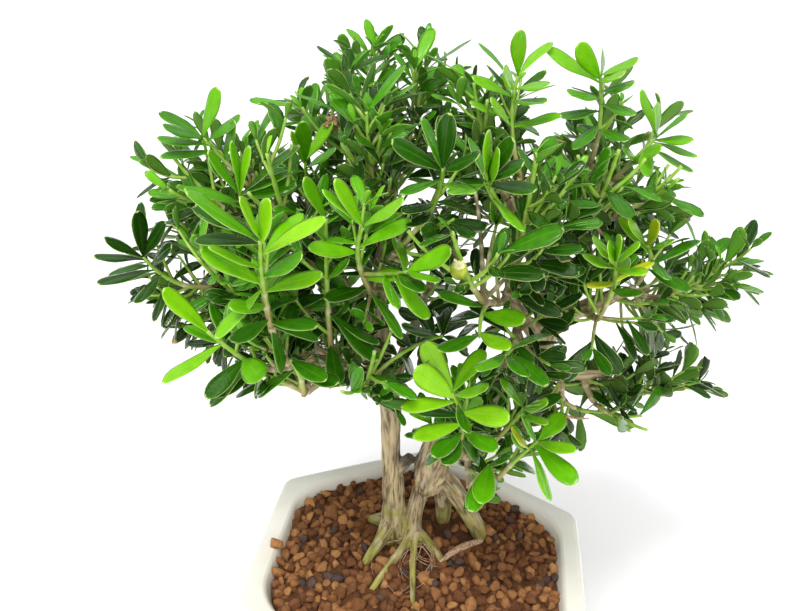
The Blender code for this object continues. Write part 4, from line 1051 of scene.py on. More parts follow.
class LeafMaker:
    """Makes fine leaves: a thin closed blade with a stalk, a rounded tip, a fold and an arch."""

    THICK = 0.42
    STALK_HALF = 0.42

    def __init__(self, along: Sequence[float], over: Sequence[float]) -> None:
        """Lays out the blade's grid: the upper side, and the underside inside the same edge.

        Args:
            along: Places of its rows from stalk to tip.
            over: Places of its columns from edge to edge.
        """
        rows, columns = len(along), len(over)
        upper = [(u, v, 1.0 if 0 < c < columns - 1 and 0 < r < rows - 1 else 0.0)
                 for r, v in enumerate(along) for c, u in enumerate(over)]
        lower = {}
        for r in range(rows):
            for c in range(columns):
                inner = 0 < c < columns - 1 and 0 < r < rows - 1
                lower[r, c] = len(upper) if inner else r * columns + c
                if inner:
                    upper.append((over[c], along[r], -1.0))
        self.grid = np.array(upper)
        self.faces: Faces = []
        for r in range(rows - 1):
            for c in range(columns - 1):
                a = r * columns + c
                self.faces.append((a, a + 1, a + columns + 1, a + columns))
                self.faces.append((lower[r, c], lower[r + 1, c], lower[r + 1, c + 1], lower[r, c + 1]))
        self.under = (self.grid[:, 2] < 0).astype(float)

    @staticmethod
    def outline(v: np.ndarray, blunt: float) -> np.ndarray:
        """Half width along the leaf as a share of the widest: a wedge that swells to a rounded tip."""
        return 1.92 * v ** 0.9 * np.clip(1 - (v * 0.995) ** 2.7, 0, 1) ** blunt

    def add_to(self, skin: Skin, leaf: Leaf, seed: float) -> None:
        """Adds a leaf to a spray's skin.

        Args:
            skin: The spray's skin.
            leaf: The leaf.
            seed: A number from 0 to 1 that sets its small differences.
        """
        u, v, side = self.grid.T
        half = leaf.length * leaf.ratio / 2
        width = half * self.outline(v * (0.86 if leaf.cut else 1.0), 0.72 - 0.2 * seed)
        width = np.maximum(width, self.STALK_HALF * (1 - v))
        wave = 0.06 * half * np.sin(2 * math.pi * (1.4 * v + seed)) * u * u
        x = u * width
        notch = 0.02 * leaf.length * (1 - np.abs(u)) ** 2 * v ** 12
        y = leaf.length * v * (0.86 if leaf.cut else 1.0) - notch
        share = y / leaf.length
        z = leaf.fold * np.abs(x) + wave - leaf.arch * leaf.length * share ** 2
        z = z - 0.10 * x * x / half
        z = z + side * self.THICK / 2 * (1 - 0.35 * u * u) - (side > 0) * (u == 0) * 0.1
        turn = leaf.twist * share
        x, z = x * np.cos(turn), z + x * np.sin(turn)
        wide = leaf.along.cross(leaf.face)
        frame = np.array([tuple(wide), tuple(leaf.along), tuple(leaf.face)])
        points = np.stack([x, y, z], 1) @ frame + np.array(tuple(leaf.root))
        place = np.stack([u, v, self.under], 1)
        kind = np.tile((leaf.age, seed, max(leaf.burnt, 0.06 if leaf.cut else 0.0)), (len(points), 1))
        skin.add(points, self.faces, 0, {Value.LEAF_PLACE: place, Value.LEAF_KIND: kind})


@dataclass
class Shoot:
    """A green stem with its leaf nodes.

    Attributes:
        curve: Its middle line.
        radii: Radius at its start and at its end.
        nodes: Shares of the curve where leaf pairs sit.
        woody: How woody its start and its end are, from 0 to 1.
    """

    curve: Curve
    radii: tuple[float, float]
    nodes: list[float]
    woody: tuple[float, float]

    def add_to(self, skin: Skin, seed: float) -> None:
        """Adds the stem to a spray's skin: five-sided, swollen at each node and closed at both ends."""
        steps = max(4, int(self.curve.length / 2.2))
        shares = sorted({i / steps for i in range(steps + 1)} | {s for s in self.nodes if s < 1})
        swell = 0.9 / self.curve.length
        radii, kinds = [], []
        for t in shares:
            near = max((1 - abs(t - s) / (2 * swell) for s in self.nodes), default=0.0)
            near = max(0.0, near)
            radii.append((self.radii[0] + (self.radii[1] - self.radii[0]) * t) * (1 + 0.2 * near))
            wood = self.woody[0] + (self.woody[1] - self.woody[0]) * t
            kinds.append((wood, seed, near * 0.7 if wood > 0.45 else near * 0.2))
        points, faces = tube([self.curve.point(t) for t in shares], radii, 5)
        values = np.repeat(np.array(kinds), 5, axis=0)
        skin.add(np.array([tuple(p) for p in points]), faces, 1, {Value.STEM_KIND: values})


class CrownRules:
    """The rules that the solids' sprays follow, repeated here so that the fine sprays lie on them."""

    def __init__(self) -> None:
        """Fills the space with the wood, then plans every spray's shoots, heads and leaves in order."""
        self.space = Space()
        self.twigs = {name: self.twig(limb, share, Vector(tip)) for name, limb, share, tip, _ in SPRAYS}
        self._fill_wood()
        self.shoots = {row[0]: self._plan_shoots(i, *row[:4]) for i, row in enumerate(SPRAYS)}
        self.heads = {}
        for name, radius, spray, share, turn in (*HEADS, CAPSULE):
            knobs = (1.0,) if name == CAPSULE[0] else (HEAD_KNOB, HEAD_HOLLOW, HEAD_HOLLOW)
            self.heads[name] = self._plan_head(name, radius, self.shoots[spray][0], share, turn, knobs)
        self.leaves = {row[0]: self._plan_leaves(i, row[0], row[4]) for i, row in enumerate(SPRAYS)}

    @staticmethod
    def limb_point(limb: str, share: float) -> tuple[Vector, float]:
        """Point on a limb's line at a share of its length, and the radius there."""
        rows = LIMBS[limb]
        points = [Vector(row[:3]) for row in rows]
        lengths = [(b - a).length for a, b in zip(points, points[1:])]
        left = share * sum(lengths)
        for i, length in enumerate(lengths):
            if left <= length or i == len(lengths) - 1:
                t = min(left / length, 1.0)
                return points[i].lerp(points[i + 1], t), rows[i][3] + (rows[i + 1][3] - rows[i][3]) * t
            left -= length
        raise ValueError(limb)

    @staticmethod
    def base_of(root: Vector, tip: Vector) -> tuple[Vector, Vector]:
        """Where a spray's twig ends and its green shoot begins, and the direction of both there."""
        span = tip - root
        aim = (span.normalized() * 0.8 + UP * 0.25).normalized()
        base = tip - aim * min(SHOOT_REACH, span.length * SHOOT_PART)
        return base, (aim - UP * SHOOT_BOW).normalized()

    def twig(self, limb: str, share: float, tip: Vector) -> tuple[list[Vector], list[float]]:
        """Path and radii of the woody twig from a limb to the base of a spray."""
        root, radius = self.limb_point(limb, share)
        base, aim = self.base_of(root, tip)
        span = (base - root).length
        path = [root, root.lerp(base, 0.5) - aim * span * 0.12, base - aim * TWIG_END, base]
        first = min(radius * 0.8, TWIG_MOST)
        return path, [first, (first + TWIG_RADIUS) / 2, TWIG_RADIUS, TWIG_RADIUS]

    def _fill_wood(self) -> None:
        """Keeps the solids' wood in the space."""
        for sides, flute, rows in TRUNKS.values():
            self.space.add(WOOD, *tube([Vector(r[:3]) for r in rows], [r[3] for r in rows], sides, flute))
        for rows in LIMBS.values():
            self.space.add(WOOD, *tube([Vector(r[:3]) for r in rows], [r[3] for r in rows], LIMB_SIDES))
        for path, radii in self.twigs.values():
            self.space.add(WOOD, *tube(path, radii, 3))

    @staticmethod
    def shoot_owner(name: str) -> str:
        """Name under which a spray's stems are kept in the space."""
        return name + " shoots"

    @staticmethod
    def _curve_tube(curve: Curve, radius: float, first: float) -> tuple[list[Vector], Faces]:
        """Plain square tube round a curve from a share of it to its end, for clearance tests."""
        shares = (first, (1 + first) / 2, 1.0)
        return tube([curve.point(t) for t in shares], [radius] * len(shares), 4)

    def stem_is_clear(self, curve: Curve, radius: float, first: float, skip: Sequence[str] = ()) -> bool:
        """Whether a stem along a curve crosses nothing past a share of its length."""
        return self.space.clear(*self._curve_tube(curve, radius + GAP, first), skip=skip)

    def keep_stem(self, name: str, curve: Curve, radius: float) -> None:
        """Keeps a stem in the space under its spray's name."""
        self.space.add(self.shoot_owner(name), *self._curve_tube(curve, radius, 0.0))

    @staticmethod
    def _shoot_curves(draw: random.Random, base: Vector, aim: Vector, tip: Vector):
        """Curves of a spray's main shoot and of the two side shoots that leave it opposite each other."""
        length = (tip - base).length
        main = Curve(base, base + aim * length * 0.5, tip)
        normal = Matrix.Rotation(draw.uniform(0, math.pi), 3, aim) @ across(aim)
        tangent = main.tangent(FORK_SHARE)
        start = main.point(FORK_SHARE)
        sides = []
        for sign, share in zip((1, -1), SIDE_LENGTHS):
            side = across(tangent, normal) * sign
            away = (tangent * 0.62 + side * 0.78).normalized()
            long = length * share * draw.uniform(0.9, 1.15)
            lift = (away * 0.8 + UP * 0.2 + tangent * 0.15).normalized()
            sides.append(Curve(start + side * SHOOT_RADIUS * 0.7, start + away * long * 0.5, start + lift * long))
        return main, normal, sides

    def _plan_shoots(self, index: int, name: str, limb: str, share: float, tip: tuple) -> tuple:
        """Turns the spray's shoots until they stand clear of the wood and of the sprays before it."""
        draw = random.Random(index)
        base, aim = self.base_of(self.limb_point(limb, share)[0], Vector(tip))
        for _ in range(SHOOT_TRIES):
            main, normal, sides = self._shoot_curves(draw, base + aim * GAP, aim, Vector(tip))
            if self.stem_is_clear(main, SHOOT_RADIUS, 0.12) and all(
                    self.stem_is_clear(side, SHOOT_RADIUS, 0.2) for side in sides):
                break
        for curve in (main, *sides):
            self.keep_stem(name, curve, SHOOT_RADIUS)
        return main, normal, sides

    def _plan_head(self, name: str, radius: float, curve: Curve, share: float, turn: float,
                   knobs: Sequence[float]) -> tuple[Vector, Vector, float]:
        """Centre, outward direction and radius of a head against the side of a shoot."""
        tangent = curve.tangent(share)
        away = Matrix.Rotation(math.radians(turn), 3, tangent) @ across(tangent)
        centre = curve.point(share) + away * (SHOOT_RADIUS + GAP + radius * HEAD_KNOB)
        shape = bmesh.new()
        bmesh.ops.create_icosphere(shape, subdivisions=2, radius=radius)
        facing = away.to_track_quat("Z", "Y")
        points = [centre + facing @ (vert.co * knobs[i % len(knobs)]) for i, vert in enumerate(shape.verts)]
        faces = [tuple(vert.index for vert in face.verts) for face in shape.faces]
        shape.free()
        self.space.add(name, points, faces)
        return centre, away, radius

    @staticmethod
    def _pair_stops(curve: Curve, pairs: int, first_face: int) -> list[tuple[float, tuple[int, ...]]]:
        """Stops of a shoot that holds leaf pairs at its tip, each pair turned a quarter from the last."""
        collar = LEAF_COLLAR / curve.length
        step = min(NODE_STEP / curve.length, 0.8 / (pairs + 0.5))
        stops: list[tuple[float, tuple[int, ...]]] = []
        for pair in reversed(range(pairs)):
            top = 1.0 - pair * step
            open_faces = (0, 2) if (pair + first_face) % 2 == 0 else (1, 3)
            stops += [(top - collar, ()), (top, open_faces)]
        return stops

    @staticmethod
    def _ring(curve: Curve, share: float, normal: Vector, radius: float) -> tuple[list[Vector], Vector]:
        """A square ring across the curve; face k of the shoot lies at k quarter turns from the normal."""
        tangent = curve.tangent(share)
        normal = across(tangent, normal)
        second = tangent.cross(normal)
        ring = []
        for k in range(4):
            angle = math.radians(-45 + 90 * k)
            spoke = normal * math.cos(angle) + second * math.sin(angle)
            ring.append(curve.point(share) + spoke * radius)
        return ring, normal

    def _openings(self, start: list[Vector], normal: Vector, curve: Curve, stops: list, radii: tuple) -> list:
        """Corners, outward side and direction of each face that a shoot leaves open for a leaf."""
        openings = []
        below = start
        for share, left_open in stops:
            radius = radii[0] + (radii[1] - radii[0]) * share
            above, normal = self._ring(curve, share, normal, radius)
            for k in range(4):
                j = (k + 1) % 4
                if k in left_open:
                    outward = Matrix.Rotation(math.pi / 2 * k, 3, curve.tangent(share)) @ normal
                    openings.append(([below[k], below[j], above[j], above[k]], outward, curve.tangent(share)))
            below = above
        return openings

    @staticmethod
    def _leaf_faces(quad: Sequence[int], outline: Sequence[int]) -> Faces:
        """Faces of a plain leaf from the corners of its opening to its outline and ridge points."""
        a, b, c, d = quad
        l1, l2, tip, r2, r1, top, low = outline
        upper = (d, l1, l2, tip, r2, r1, c)
        lower = (a, l1, l2, tip, r2, r1, b)
        faces: Faces = [(upper[i], upper[(i + 1) % 7], top) for i in range(7)]
        faces += [(lower[(i + 1) % 7], lower[i], low) for i in range(7)]
        return faces + [(a, l1, d), (c, r1, b)]

    @staticmethod
    def leaf_frame(side: Vector, tangent: Vector, spread: float, roll: float, wander: float):
        """Direction and upper side of a leaf that leaves a shoot at an angle to it."""
        side = Matrix.Rotation(wander, 3, tangent) @ side
        along = (tangent * math.cos(spread) + side * math.sin(spread)).normalized()
        face = (tangent * math.sin(spread) - side * math.cos(spread)).normalized()
        face = across(along, face + UP * 0.45)
        return along, Matrix.Rotation(roll, 3, along) @ face

    @staticmethod
    def blade(root: Vector, along: Vector, face: Vector, length: float, swell: float = 0.0) -> list[Vector]:
        """Outline of a plain blade, then a ridge point above and one below."""
        wide = along.cross(face)
        half = length * LEAF_RATIO / 2 + swell
        thick = LEAF_THICK / 2 + swell

        def at(share: float, side: float, lift: float) -> Vector:
            """A point of the blade."""
            return root + along * (length * share) + wide * side + face * (lift - LEAF_ARCH * length * share ** 2)

        outline = ((0.45, 0.72), (0.82, 0.95), (1.0 + swell / length, 0.0), (0.82, -0.95), (0.45, -0.72))
        return [at(share, half * side, 0) for share, side in outline] + [at(0.62, 0, thick), at(0.62, 0, -thick)]

    def swollen_blade(self, root: Vector, along: Vector, face: Vector, length: float) -> tuple[list[Vector], Faces]:
        """A blade grown by the gap and trimmed near its root, as a body of its own for clearance tests."""
        start = root + along * length * STALK
        rise = face * STALK_HALF
        points = [start + rise, start - rise] + self.blade(root, along, face, length, GAP)
        upper, lower = (0, 2, 3, 4, 5, 6), (1, 2, 3, 4, 5, 6)
        faces: Faces = [(upper[i], upper[(i + 1) % 6], 7) for i in range(6)]
        faces += [(lower[(i + 1) % 6], lower[i], 8) for i in range(6)]
        return points, faces + [(0, 1, 2), (1, 0, 6)]

    def _plan_leaves(self, index: int, name: str, age: float) -> list[Leaf]:
        """Every leaf of a spray's solid, each turned until it stands clear of all that is there."""
        main, normal, sides = self.shoots[name]
        draw = random.Random(1000 + index)
        start, normal = self._ring(main, 0.0, normal, SHOOT_RADIUS)
        fork = FORK_COLLAR / main.length
        stops = [(FORK_SHARE - fork, ()), (FORK_SHARE + fork, (0, 2))]
        stops += self._pair_stops(main, MAIN_PAIRS, MAIN_PAIRS)
        forks = self._openings(start, normal, main, stops, (SHOOT_RADIUS, SHOOT_TIP_RADIUS))
        openings = [(opening, MAIN_PAIRS - 1 - i // 2) for i, opening in enumerate(forks[2:])]
        for side, (quad, _, tangent) in zip(sides, forks):
            found = self._openings(quad, -tangent, side, self._pair_stops(side, SIDE_PAIRS, 0),
                                   (SHOOT_RADIUS * 0.9, SHOOT_TIP_RADIUS))
            openings += [(opening, SIDE_PAIRS - 1 - i // 2) for i, opening in enumerate(found)]
        leaves = []
        for (quad, outward, tangent), pair in openings:
            leaf = self._plan_leaf(draw, name, quad, outward, tangent, pair, age)
            if leaf:
                leaves.append(leaf)
        return leaves

    def _plan_leaf(self, draw: random.Random, name: str, corners: list[Vector], outward: Vector,
                   tangent: Vector, pair: int, age: float) -> Leaf | None:
        """One leaf of a solid, or None where nothing was clear and its opening was closed flat."""
        root = sum(corners, Vector()) / 4
        size = LEAF_LENGTH * draw.uniform(0.86, 1.12)
        faces = self._leaf_faces((0, 1, 2, 3), range(4, 11)) + [(3, 2, 1, 0)]
        for attempt in range(LEAF_TRIES):
            loose = attempt * 2.4
            along, face = self.leaf_frame(
                outward,
                tangent,
                math.radians(SPREAD + SPREAD_BY_PAIR * pair + draw.uniform(-loose, loose) * 0.7),
                math.radians(draw.uniform(-10 - loose, 10 + loose) * 0.7),
                math.radians(draw.uniform(-loose, loose)),
            )
            outline = self.blade(root, along, face, size)
            if self.space.clear(*self.swollen_blade(root, along, face, size)) and self.space.clear(
                    corners + outline, faces, skip=(self.shoot_owner(name),)):
                number = self.space.add(name, corners + outline, faces)
                return Leaf(root, along, face, size, age + 0.12 - 0.14 * pair, number=number)
            size *= 0.985
        return None


class Picture:
    """Sets the photograph's own shoots into the crown and keeps the rest from hiding them.

    A leaf of the picture springs from its shoot and ends on the ray through the pixel of its tip.
    """

    USUAL = 21.0
    RATIO = 0.34

    def __init__(self, rules: CrownRules, view: PhotoView) -> None:
        """Places every seen shoot with its leaves and clears the solids' leaves out of their way."""
        self.rules, self.view = rules, view
        self.mains: dict[str, Curve] = {}
        self.leaves: dict[str, list[Leaf]] = {}
        self.covers: list[tuple[float, float, float, float, float, float]] = []
        self.placed = [(shoot, self._curve(shoot)) for shoot in SEEN_SHOOTS]
        for name in self.mains:
            for leaf in rules.leaves[name]:
                rules.space.drop(leaf.number)
            rules.leaves[name] = []
        for shoot, curve in self.placed:
            for row in shoot.leaves:
                leaf = self._leaf(curve, row)
                self.leaves.setdefault(shoot.spray, []).append(leaf)
                self._keep(shoot.spray, leaf)
            rules.keep_stem(shoot.spray, curve, SHOOT_RADIUS)
            ends = [view.seen(curve.point(share)) for share in (0.0, 0.5, 1.0)]
            for a, b in zip(ends, ends[1:]):
                self.covers.append((*a[:2], *b[:2], 3.0, b[2]))
        for name, leaves in rules.leaves.items():
            rules.leaves[name] = [leaf for leaf in leaves if leaf.number >= 0 and self._keeps(leaf)]

    def side_shoots(self, name: str) -> list[tuple[SeenShoot, Curve]]:
        """The seen shoots of a spray that leave its main shoot or its twig."""
        return [(shoot, curve) for shoot, curve in self.placed if shoot.spray == name and shoot.start != 0]

    def _curve(self, shoot: SeenShoot) -> Curve:
        """A seen shoot's middle line, from its spray's own wood to the pixel of its tip."""
        main = self.mains.get(shoot.spray) or self.rules.shoots[shoot.spray][0]
        path, _ = self.rules.twigs[shoot.spray]
        start = main.point(shoot.start) if shoot.start >= 0 else path[-1].lerp(path[1], -shoot.start)
        depth = (self.view.seen(start)[2] + shoot.depth) / 2
        middle = self.view.eye + self.view.ray(*shoot.middle) * depth
        end = self.view.eye + self.view.ray(*shoot.end) * shoot.depth
        curve = Curve(start, middle * 2 - (start + end) / 2, end)
        if shoot.start == 0:
            self.mains[shoot.spray] = curve
        return curve

    def _leaf(self, curve: Curve, row: tuple[float, float, float, float, float, float, int]) -> Leaf:
        """A seen leaf, turned so that it shows the width that the picture gives it."""
        root_x, root_y, tip_x, tip_y, width, age, nearer = row
        view = self.view
        shares = [i / 24 for i in range(25)]
        root = curve.point(min(shares, key=lambda t: math.dist(view.seen(curve.point(t))[:2], (root_x, root_y))))
        x, y, depth = view.seen(root)
        length = max(self.USUAL, math.dist((x, y), (tip_x, tip_y)) * depth / view.focal * 1.02)
        ray = view.ray(tip_x, tip_y)
        half = ray.dot(root - view.eye) / ray.length_squared
        room = half * half - ((root - view.eye).length_squared - length * length) / ray.length_squared
        tip = view.eye + ray * (half - nearer * math.sqrt(max(room, 0.0)))
        length = min(length, (tip - root).length)
        along = (tip - root).normalized()
        facing = across(along, view.eye - root)
        full = self.RATIO * length * view.focal / depth
        turn = math.acos(min(1.0, width / full))
        faces = [Matrix.Rotation(angle, 3, along) @ facing for angle in (turn, -turn)]
        face = max(faces, key=lambda side: side.dot(UP))
        arch = 0.09
        along = (tip + face * arch * length - root).normalized()
        ratio = self.RATIO * max(1.0, min(width / full, 1.5))
        leaf = Leaf(root, along, across(along, face), length, age, ratio, arch, 0.12)
        self.covers.append((x, y, tip_x, tip_y, width / 2 + 1, depth))
        return leaf

    def _keep(self, name: str, leaf: Leaf) -> None:
        """Keeps a seen leaf's place in the space and drops the solids' leaves that it crosses."""
        space = self.rules.space
        shape = self.rules.swollen_blade(leaf.root, leaf.along, leaf.face, leaf.length)
        crossed = set(space.crossed(*shape))
        for leaves in self.rules.leaves.values():
            for other in leaves:
                if other.number in crossed:
                    space.drop(other.number)
                    other.number = -1
        leaf.number = space.add(name, *shape)

    def _keeps(self, leaf: Leaf) -> bool:
        """Whether a leaf of the solids may stay: it is dropped only where it would hide what was seen."""
        tip = self.view.seen(leaf.root + leaf.along * leaf.length)
        if self.hides(leaf) or not self._near_edge(*tip[:2]):
            self.rules.space.drop(leaf.number)
            return False
        return True

    @staticmethod
    def _near_edge(x: float, y: float) -> bool:
        """Whether a pixel is in the crown or less than about ten pixels outside it."""
        return any(within(CROWN_EDGE, x + dx, y + dy) for dx, dy in ((0, 0), (10, 0), (-10, 0), (0, 10), (0, -10)))

    def hides(self, leaf: Leaf) -> bool:
        """Whether a leaf would stand before a seen leaf or shoot."""
        return any(self._covers_seen(leaf.root + leaf.along * leaf.length * share) for share in (0.3, 0.65, 1.0))

    def _covers_seen(self, point: Vector) -> bool:
        """Whether a point stands before a seen leaf or shoot."""
        x, y, depth = self.view.seen(point)
        for ax, ay, bx, by, reach, other in self.covers:
            if depth > other + 4:
                continue
            t = ((x - ax) * (bx - ax) + (y - ay) * (by - ay)) / max((bx - ax) ** 2 + (by - ay) ** 2, 1.0)
            t = min(max(t, 0.0), 1.0)
            if math.dist((x, y), (ax + (bx - ax) * t, ay + (by - ay) * t)) < reach + 3:
                return True
        return False

    def allows_stem(self, curve: Curve) -> bool:
        """Whether a further side shoot keeps to the outline and hides nothing seen."""
        points = [curve.point(share) for share in (0.5, 1.0)]
        return all(within(CROWN_EDGE, *self.view.seen(p)[:2]) and not self._covers_seen(p) for p in points)

    def allows(self, leaf: Leaf) -> bool:
        """Whether a further leaf keeps to the crown's outline, leaves its gaps open and hides nothing seen."""
        for share in (0.5, 1.0):
            x, y, _ = self.view.seen(leaf.root + leaf.along * leaf.length * share)
            if not within(CROWN_EDGE, x, y) or any(within(gap, x, y) for gap in CROWN_GAPS):
                return False
        return not self.hides(leaf)


@dataclass
class Foliage:
    """The leafy sprays, one piece for each of the solids', with the shoots that fill the crown between them.

    Attributes:
        rules: The solids' own sprays.
        picture: The photograph's own shoots.
        node_step: Distance between leaf pairs on a side shoot.
        extra: Further side shoots: share of the main shoot, turn round it in degrees, length as a share
            of the main shoot's, and the change of age.
        late: Short shoots that fill what is left: share of their parent and turn round it.
        on_twig: Shoots on the bare twig: share of it, turn round it and length.
    """

    rules: CrownRules
    picture: Picture
    node_step: float = 6.6
    extra: tuple[tuple[float, float, float, float], ...] = (
        (0.05, 35, 0.52, -0.28), (0.12, 160, 0.5, -0.28), (0.2, 280, 0.55, -0.2), (0.3, 80, 0.5, -0.15),
        (0.4, 220, 0.46, -0.1), (0.55, 340, 0.42, 0.0), (0.66, 120, 0.36, 0.0), (0.8, 250, 0.28, 0.08))
    late: tuple[tuple[float, float], ...] = (
        (0.15, 200), (0.3, 0), (0.45, 140), (0.6, 260), (0.75, 60), (0.9, 180))
    on_twig: tuple[tuple[float, float, float], ...] = (
        (0.3, 60, 20.0), (0.5, 180, 21.0), (0.7, 300, 22.0), (0.88, 120, 22.0))

    def build(self, maker: LeafMaker, fine_maker: LeafMaker, looks: Sequence[bpy.types.Material]) -> None:
        """Builds every spray in the solids' order.

        Args:
            maker: Makes the leaves.
            fine_maker: Makes the leaves that the picture shows.
            looks: The leaf's and the stem's material.
        """
        grown = {}
        for index, (name, _, _, _, age) in enumerate(SPRAYS):
            grown[name] = self._grow(index, name, age)
        for index, (name, _, _, _, age) in enumerate(SPRAYS):
            self._thicken(index, name, age, *grown[name])
        for index, (name, _, _, _, _) in enumerate(SPRAYS):
            draw = random.Random(5000 + index)
            skin = Skin()
            stems, leaves = grown[name]
            for stem in stems:
                stem.add_to(skin, draw.random())
            for leaf in leaves:
                maker.add_to(skin, leaf, draw.random())
            for leaf in self.picture.leaves.get(name, ()):
                fine_maker.add_to(skin, leaf, draw.random())
            place_piece(skin.to_object(name + "_leaves", looks), "leaf", name)
        LOG.info("%d leaves in all", sum(len(leaves) for _, leaves in grown.values()))

    def _grow(self, index: int, name: str, age: float) -> tuple[list[Shoot], list[Leaf]]:
        """Stems and leaves of one spray: those of its solid, then all that fills the space round them."""
        draw = random.Random(3000 + index)
        main, normal, sides = self.rules.shoots[name]
        if name in self.picture.mains:
            main, sides = self.picture.mains[name], []
        step = min(NODE_STEP / main.length, 0.8 / (MAIN_PAIRS + 0.5))
        stems = [Shoot(main, (SHOOT_RADIUS, 0.65), self._nodes(main, 1.0), (0.75, 0.0))]
        for shoot, curve in self.picture.side_shoots(name):
            stems.append(Shoot(curve, (0.95, 0.6), self._nodes(curve, 1.0), shoot.woody))
        leaves = [self._vary(draw, leaf) for leaf in self.rules.leaves[name]]
        leaves += self._bud(draw, name, main, age)
        lower = [share for share in self._nodes(main, 1.0) if share < 1 - step * (MAIN_PAIRS - 0.5)]
        leaves += self._pairs(draw, name, main, lower, age - 0.15)
        for side in sides:
            nodes = self._nodes(side, 1.0)
            stems.append(Shoot(side, (0.85, 0.6), nodes, (0.45, 0.0)))
            leaves += self._pairs(draw, name, side, nodes[1:], age - 0.05)
            leaves += self._bud(draw, name, side, age)
        for share, turn, reach, change in self.extra:
            curve = self._branch(draw, name, main, share, turn + draw.uniform(-25, 25), normal, reach)
            self._dress(draw, name, curve, age + change, (0.4, 0.0), stems, leaves)
        path, _ = self.rules.twigs[name]
        twig = Curve(path[0], path[1] * 2 - (path[0] + path[-1]) / 2, path[-1])
        for share, turn, length in self.on_twig:
            curve = self._branch(draw, name, twig, share, turn + draw.uniform(-40, 40), normal,
                                 length / twig.length)
            self._dress(draw, name, curve, age - 0.33, (0.8, 0.25), stems, leaves)
        return stems, leaves

    def _thicken(self, index: int, name: str, age: float, stems: list[Shoot], leaves: list[Leaf]) -> None:
        """Adds short dark shoots from the spray's stems and twig wherever there is still room."""
        draw = random.Random(7000 + index)
        main, normal, _ = self.rules.shoots[name]
        path, _ = self.rules.twigs[name]
        twig = Curve(path[0], path[1] * 2 - (path[0] + path[-1]) / 2, path[-1])
        for share, turn in self.late:
            for parent in (twig, stems[0].curve):
                curve = self._branch(draw, name, parent, share, turn + draw.uniform(-50, 50), normal,
                                     draw.uniform(14, 20) / parent.length)
                self._dress(draw, name, curve, age - 0.3, (0.5, 0.1), stems, leaves)

    def _dress(self, draw: random.Random, name: str, curve: Curve | None, age: float,
               woody: tuple[float, float], stems: list[Shoot], leaves: list[Leaf]) -> None:
        """Gives a side shoot its leaves, and keeps it where at least two found room.

        Args:
            draw: Random source.
            name: The spray.
            curve: The side shoot's middle line, if it found room.
            age: Age of its leaves.
            woody: How woody its ends are.
            stems: The spray's stems so far.
            leaves: The spray's leaves so far.
        """
        if curve is None:
            return
        nodes = self._nodes(curve, 0.9)
        grown = self._pairs(draw, name, curve, nodes, age) + self._bud(draw, name, curve, age)
        if len(grown) >= 2:
            stems.append(Shoot(curve, (0.75, 0.5), nodes, woody))
        leaves += grown if len(grown) >= 2 else []

    def _nodes(self, curve: Curve, last: float) -> list[float]:
        """Shares of a shoot where leaf pairs sit, from the last down."""
        step = self.node_step / curve.length
        count = max(1, int((last - 0.22) / step) + 1)
        return [last - step * i for i in range(count)]

    def _branch(self, draw: random.Random, name: str, parent: Curve, share: float, turn: float,
                normal: Vector, reach: float) -> Curve | None:
        """A side shoot that leaves its parent at a share and a turn, where it finds room.

        Args:
            draw: Random source.
            name: The spray.
            parent: The shoot or twig that it leaves.
            share: Where it leaves the parent.
            turn: Turn round the parent, in degrees.
            normal: The side that the turn starts from.
            reach: Length as a share of the parent's.

        Returns:
            Its curve, or None where there is no room.
        """
        start = parent.point(share)
        tangent = parent.tangent(share)
        side = across(tangent, normal)
        for attempt in range(6):
            out = Matrix.Rotation(math.radians(turn + 47 * attempt), 3, tangent) @ side
            away = (tangent * draw.uniform(0.4, 0.7) + out * 0.8 + UP * 0.12).normalized()
            length = parent.length * reach * draw.uniform(0.85, 1.2) * (1 - 0.06 * attempt)
            lift = (away * 0.85 + UP * 0.22 + tangent * 0.1).normalized()
            curve = Curve(start, start + away * length * 0.5, start + lift * length)
            if self.picture.allows_stem(curve) and self.rules.stem_is_clear(
                    curve, 0.8, 0.25, skip=(self.rules.shoot_owner(name),)):
                self.rules.keep_stem(name, curve, 0.8)
                return curve
        return None

    def _pairs(self, draw: random.Random, name: str, curve: Curve, nodes: list[float], age: float) -> list[Leaf]:
        """Opposite leaf pairs at the nodes of a shoot, each pair turned a quarter from the last."""
        leaves = []
        first = across(curve.tangent(0), Vector((draw.uniform(-1, 1), draw.uniform(-1, 1), 0.3)))
        for i, share in enumerate(nodes):
            tangent = curve.tangent(share)
            base = across(tangent, first)
            if i % 2:
                base = tangent.cross(base)
            size = LEAF_LENGTH * (0.74 if i == 0 else 0.92) * draw.uniform(0.82, 1.12)
            for sign in (1, -1):
                spread = 40 + 7 * i + draw.uniform(-6, 6)
                leaf = self._find_room(draw, name, curve.point(share), base * sign, tangent, spread, size,
                                       age - 0.07 * i + draw.uniform(-0.08, 0.08))
                if leaf:
                    leaves.append(leaf)
        return leaves

    def _bud(self, draw: random.Random, name: str, curve: Curve, age: float) -> list[Leaf]:
        """The two small young leaves at the tip of a shoot, nearly closed."""
        tangent = curve.tangent(1.0)
        side = across(tangent, Vector((draw.uniform(-1, 1), draw.uniform(-1, 1), 0.2)))
        leaves = []
        for sign in (1, -1):
            leaf = self._find_room(draw, name, curve.point(1.0) - tangent * 0.4, side * sign, tangent,
                                   draw.uniform(14, 26), LEAF_LENGTH * draw.uniform(0.34, 0.55), age + 0.2)
            if leaf:
                leaf.ratio, leaf.fold = 0.32, 0.35
                leaves.append(leaf)
        return leaves

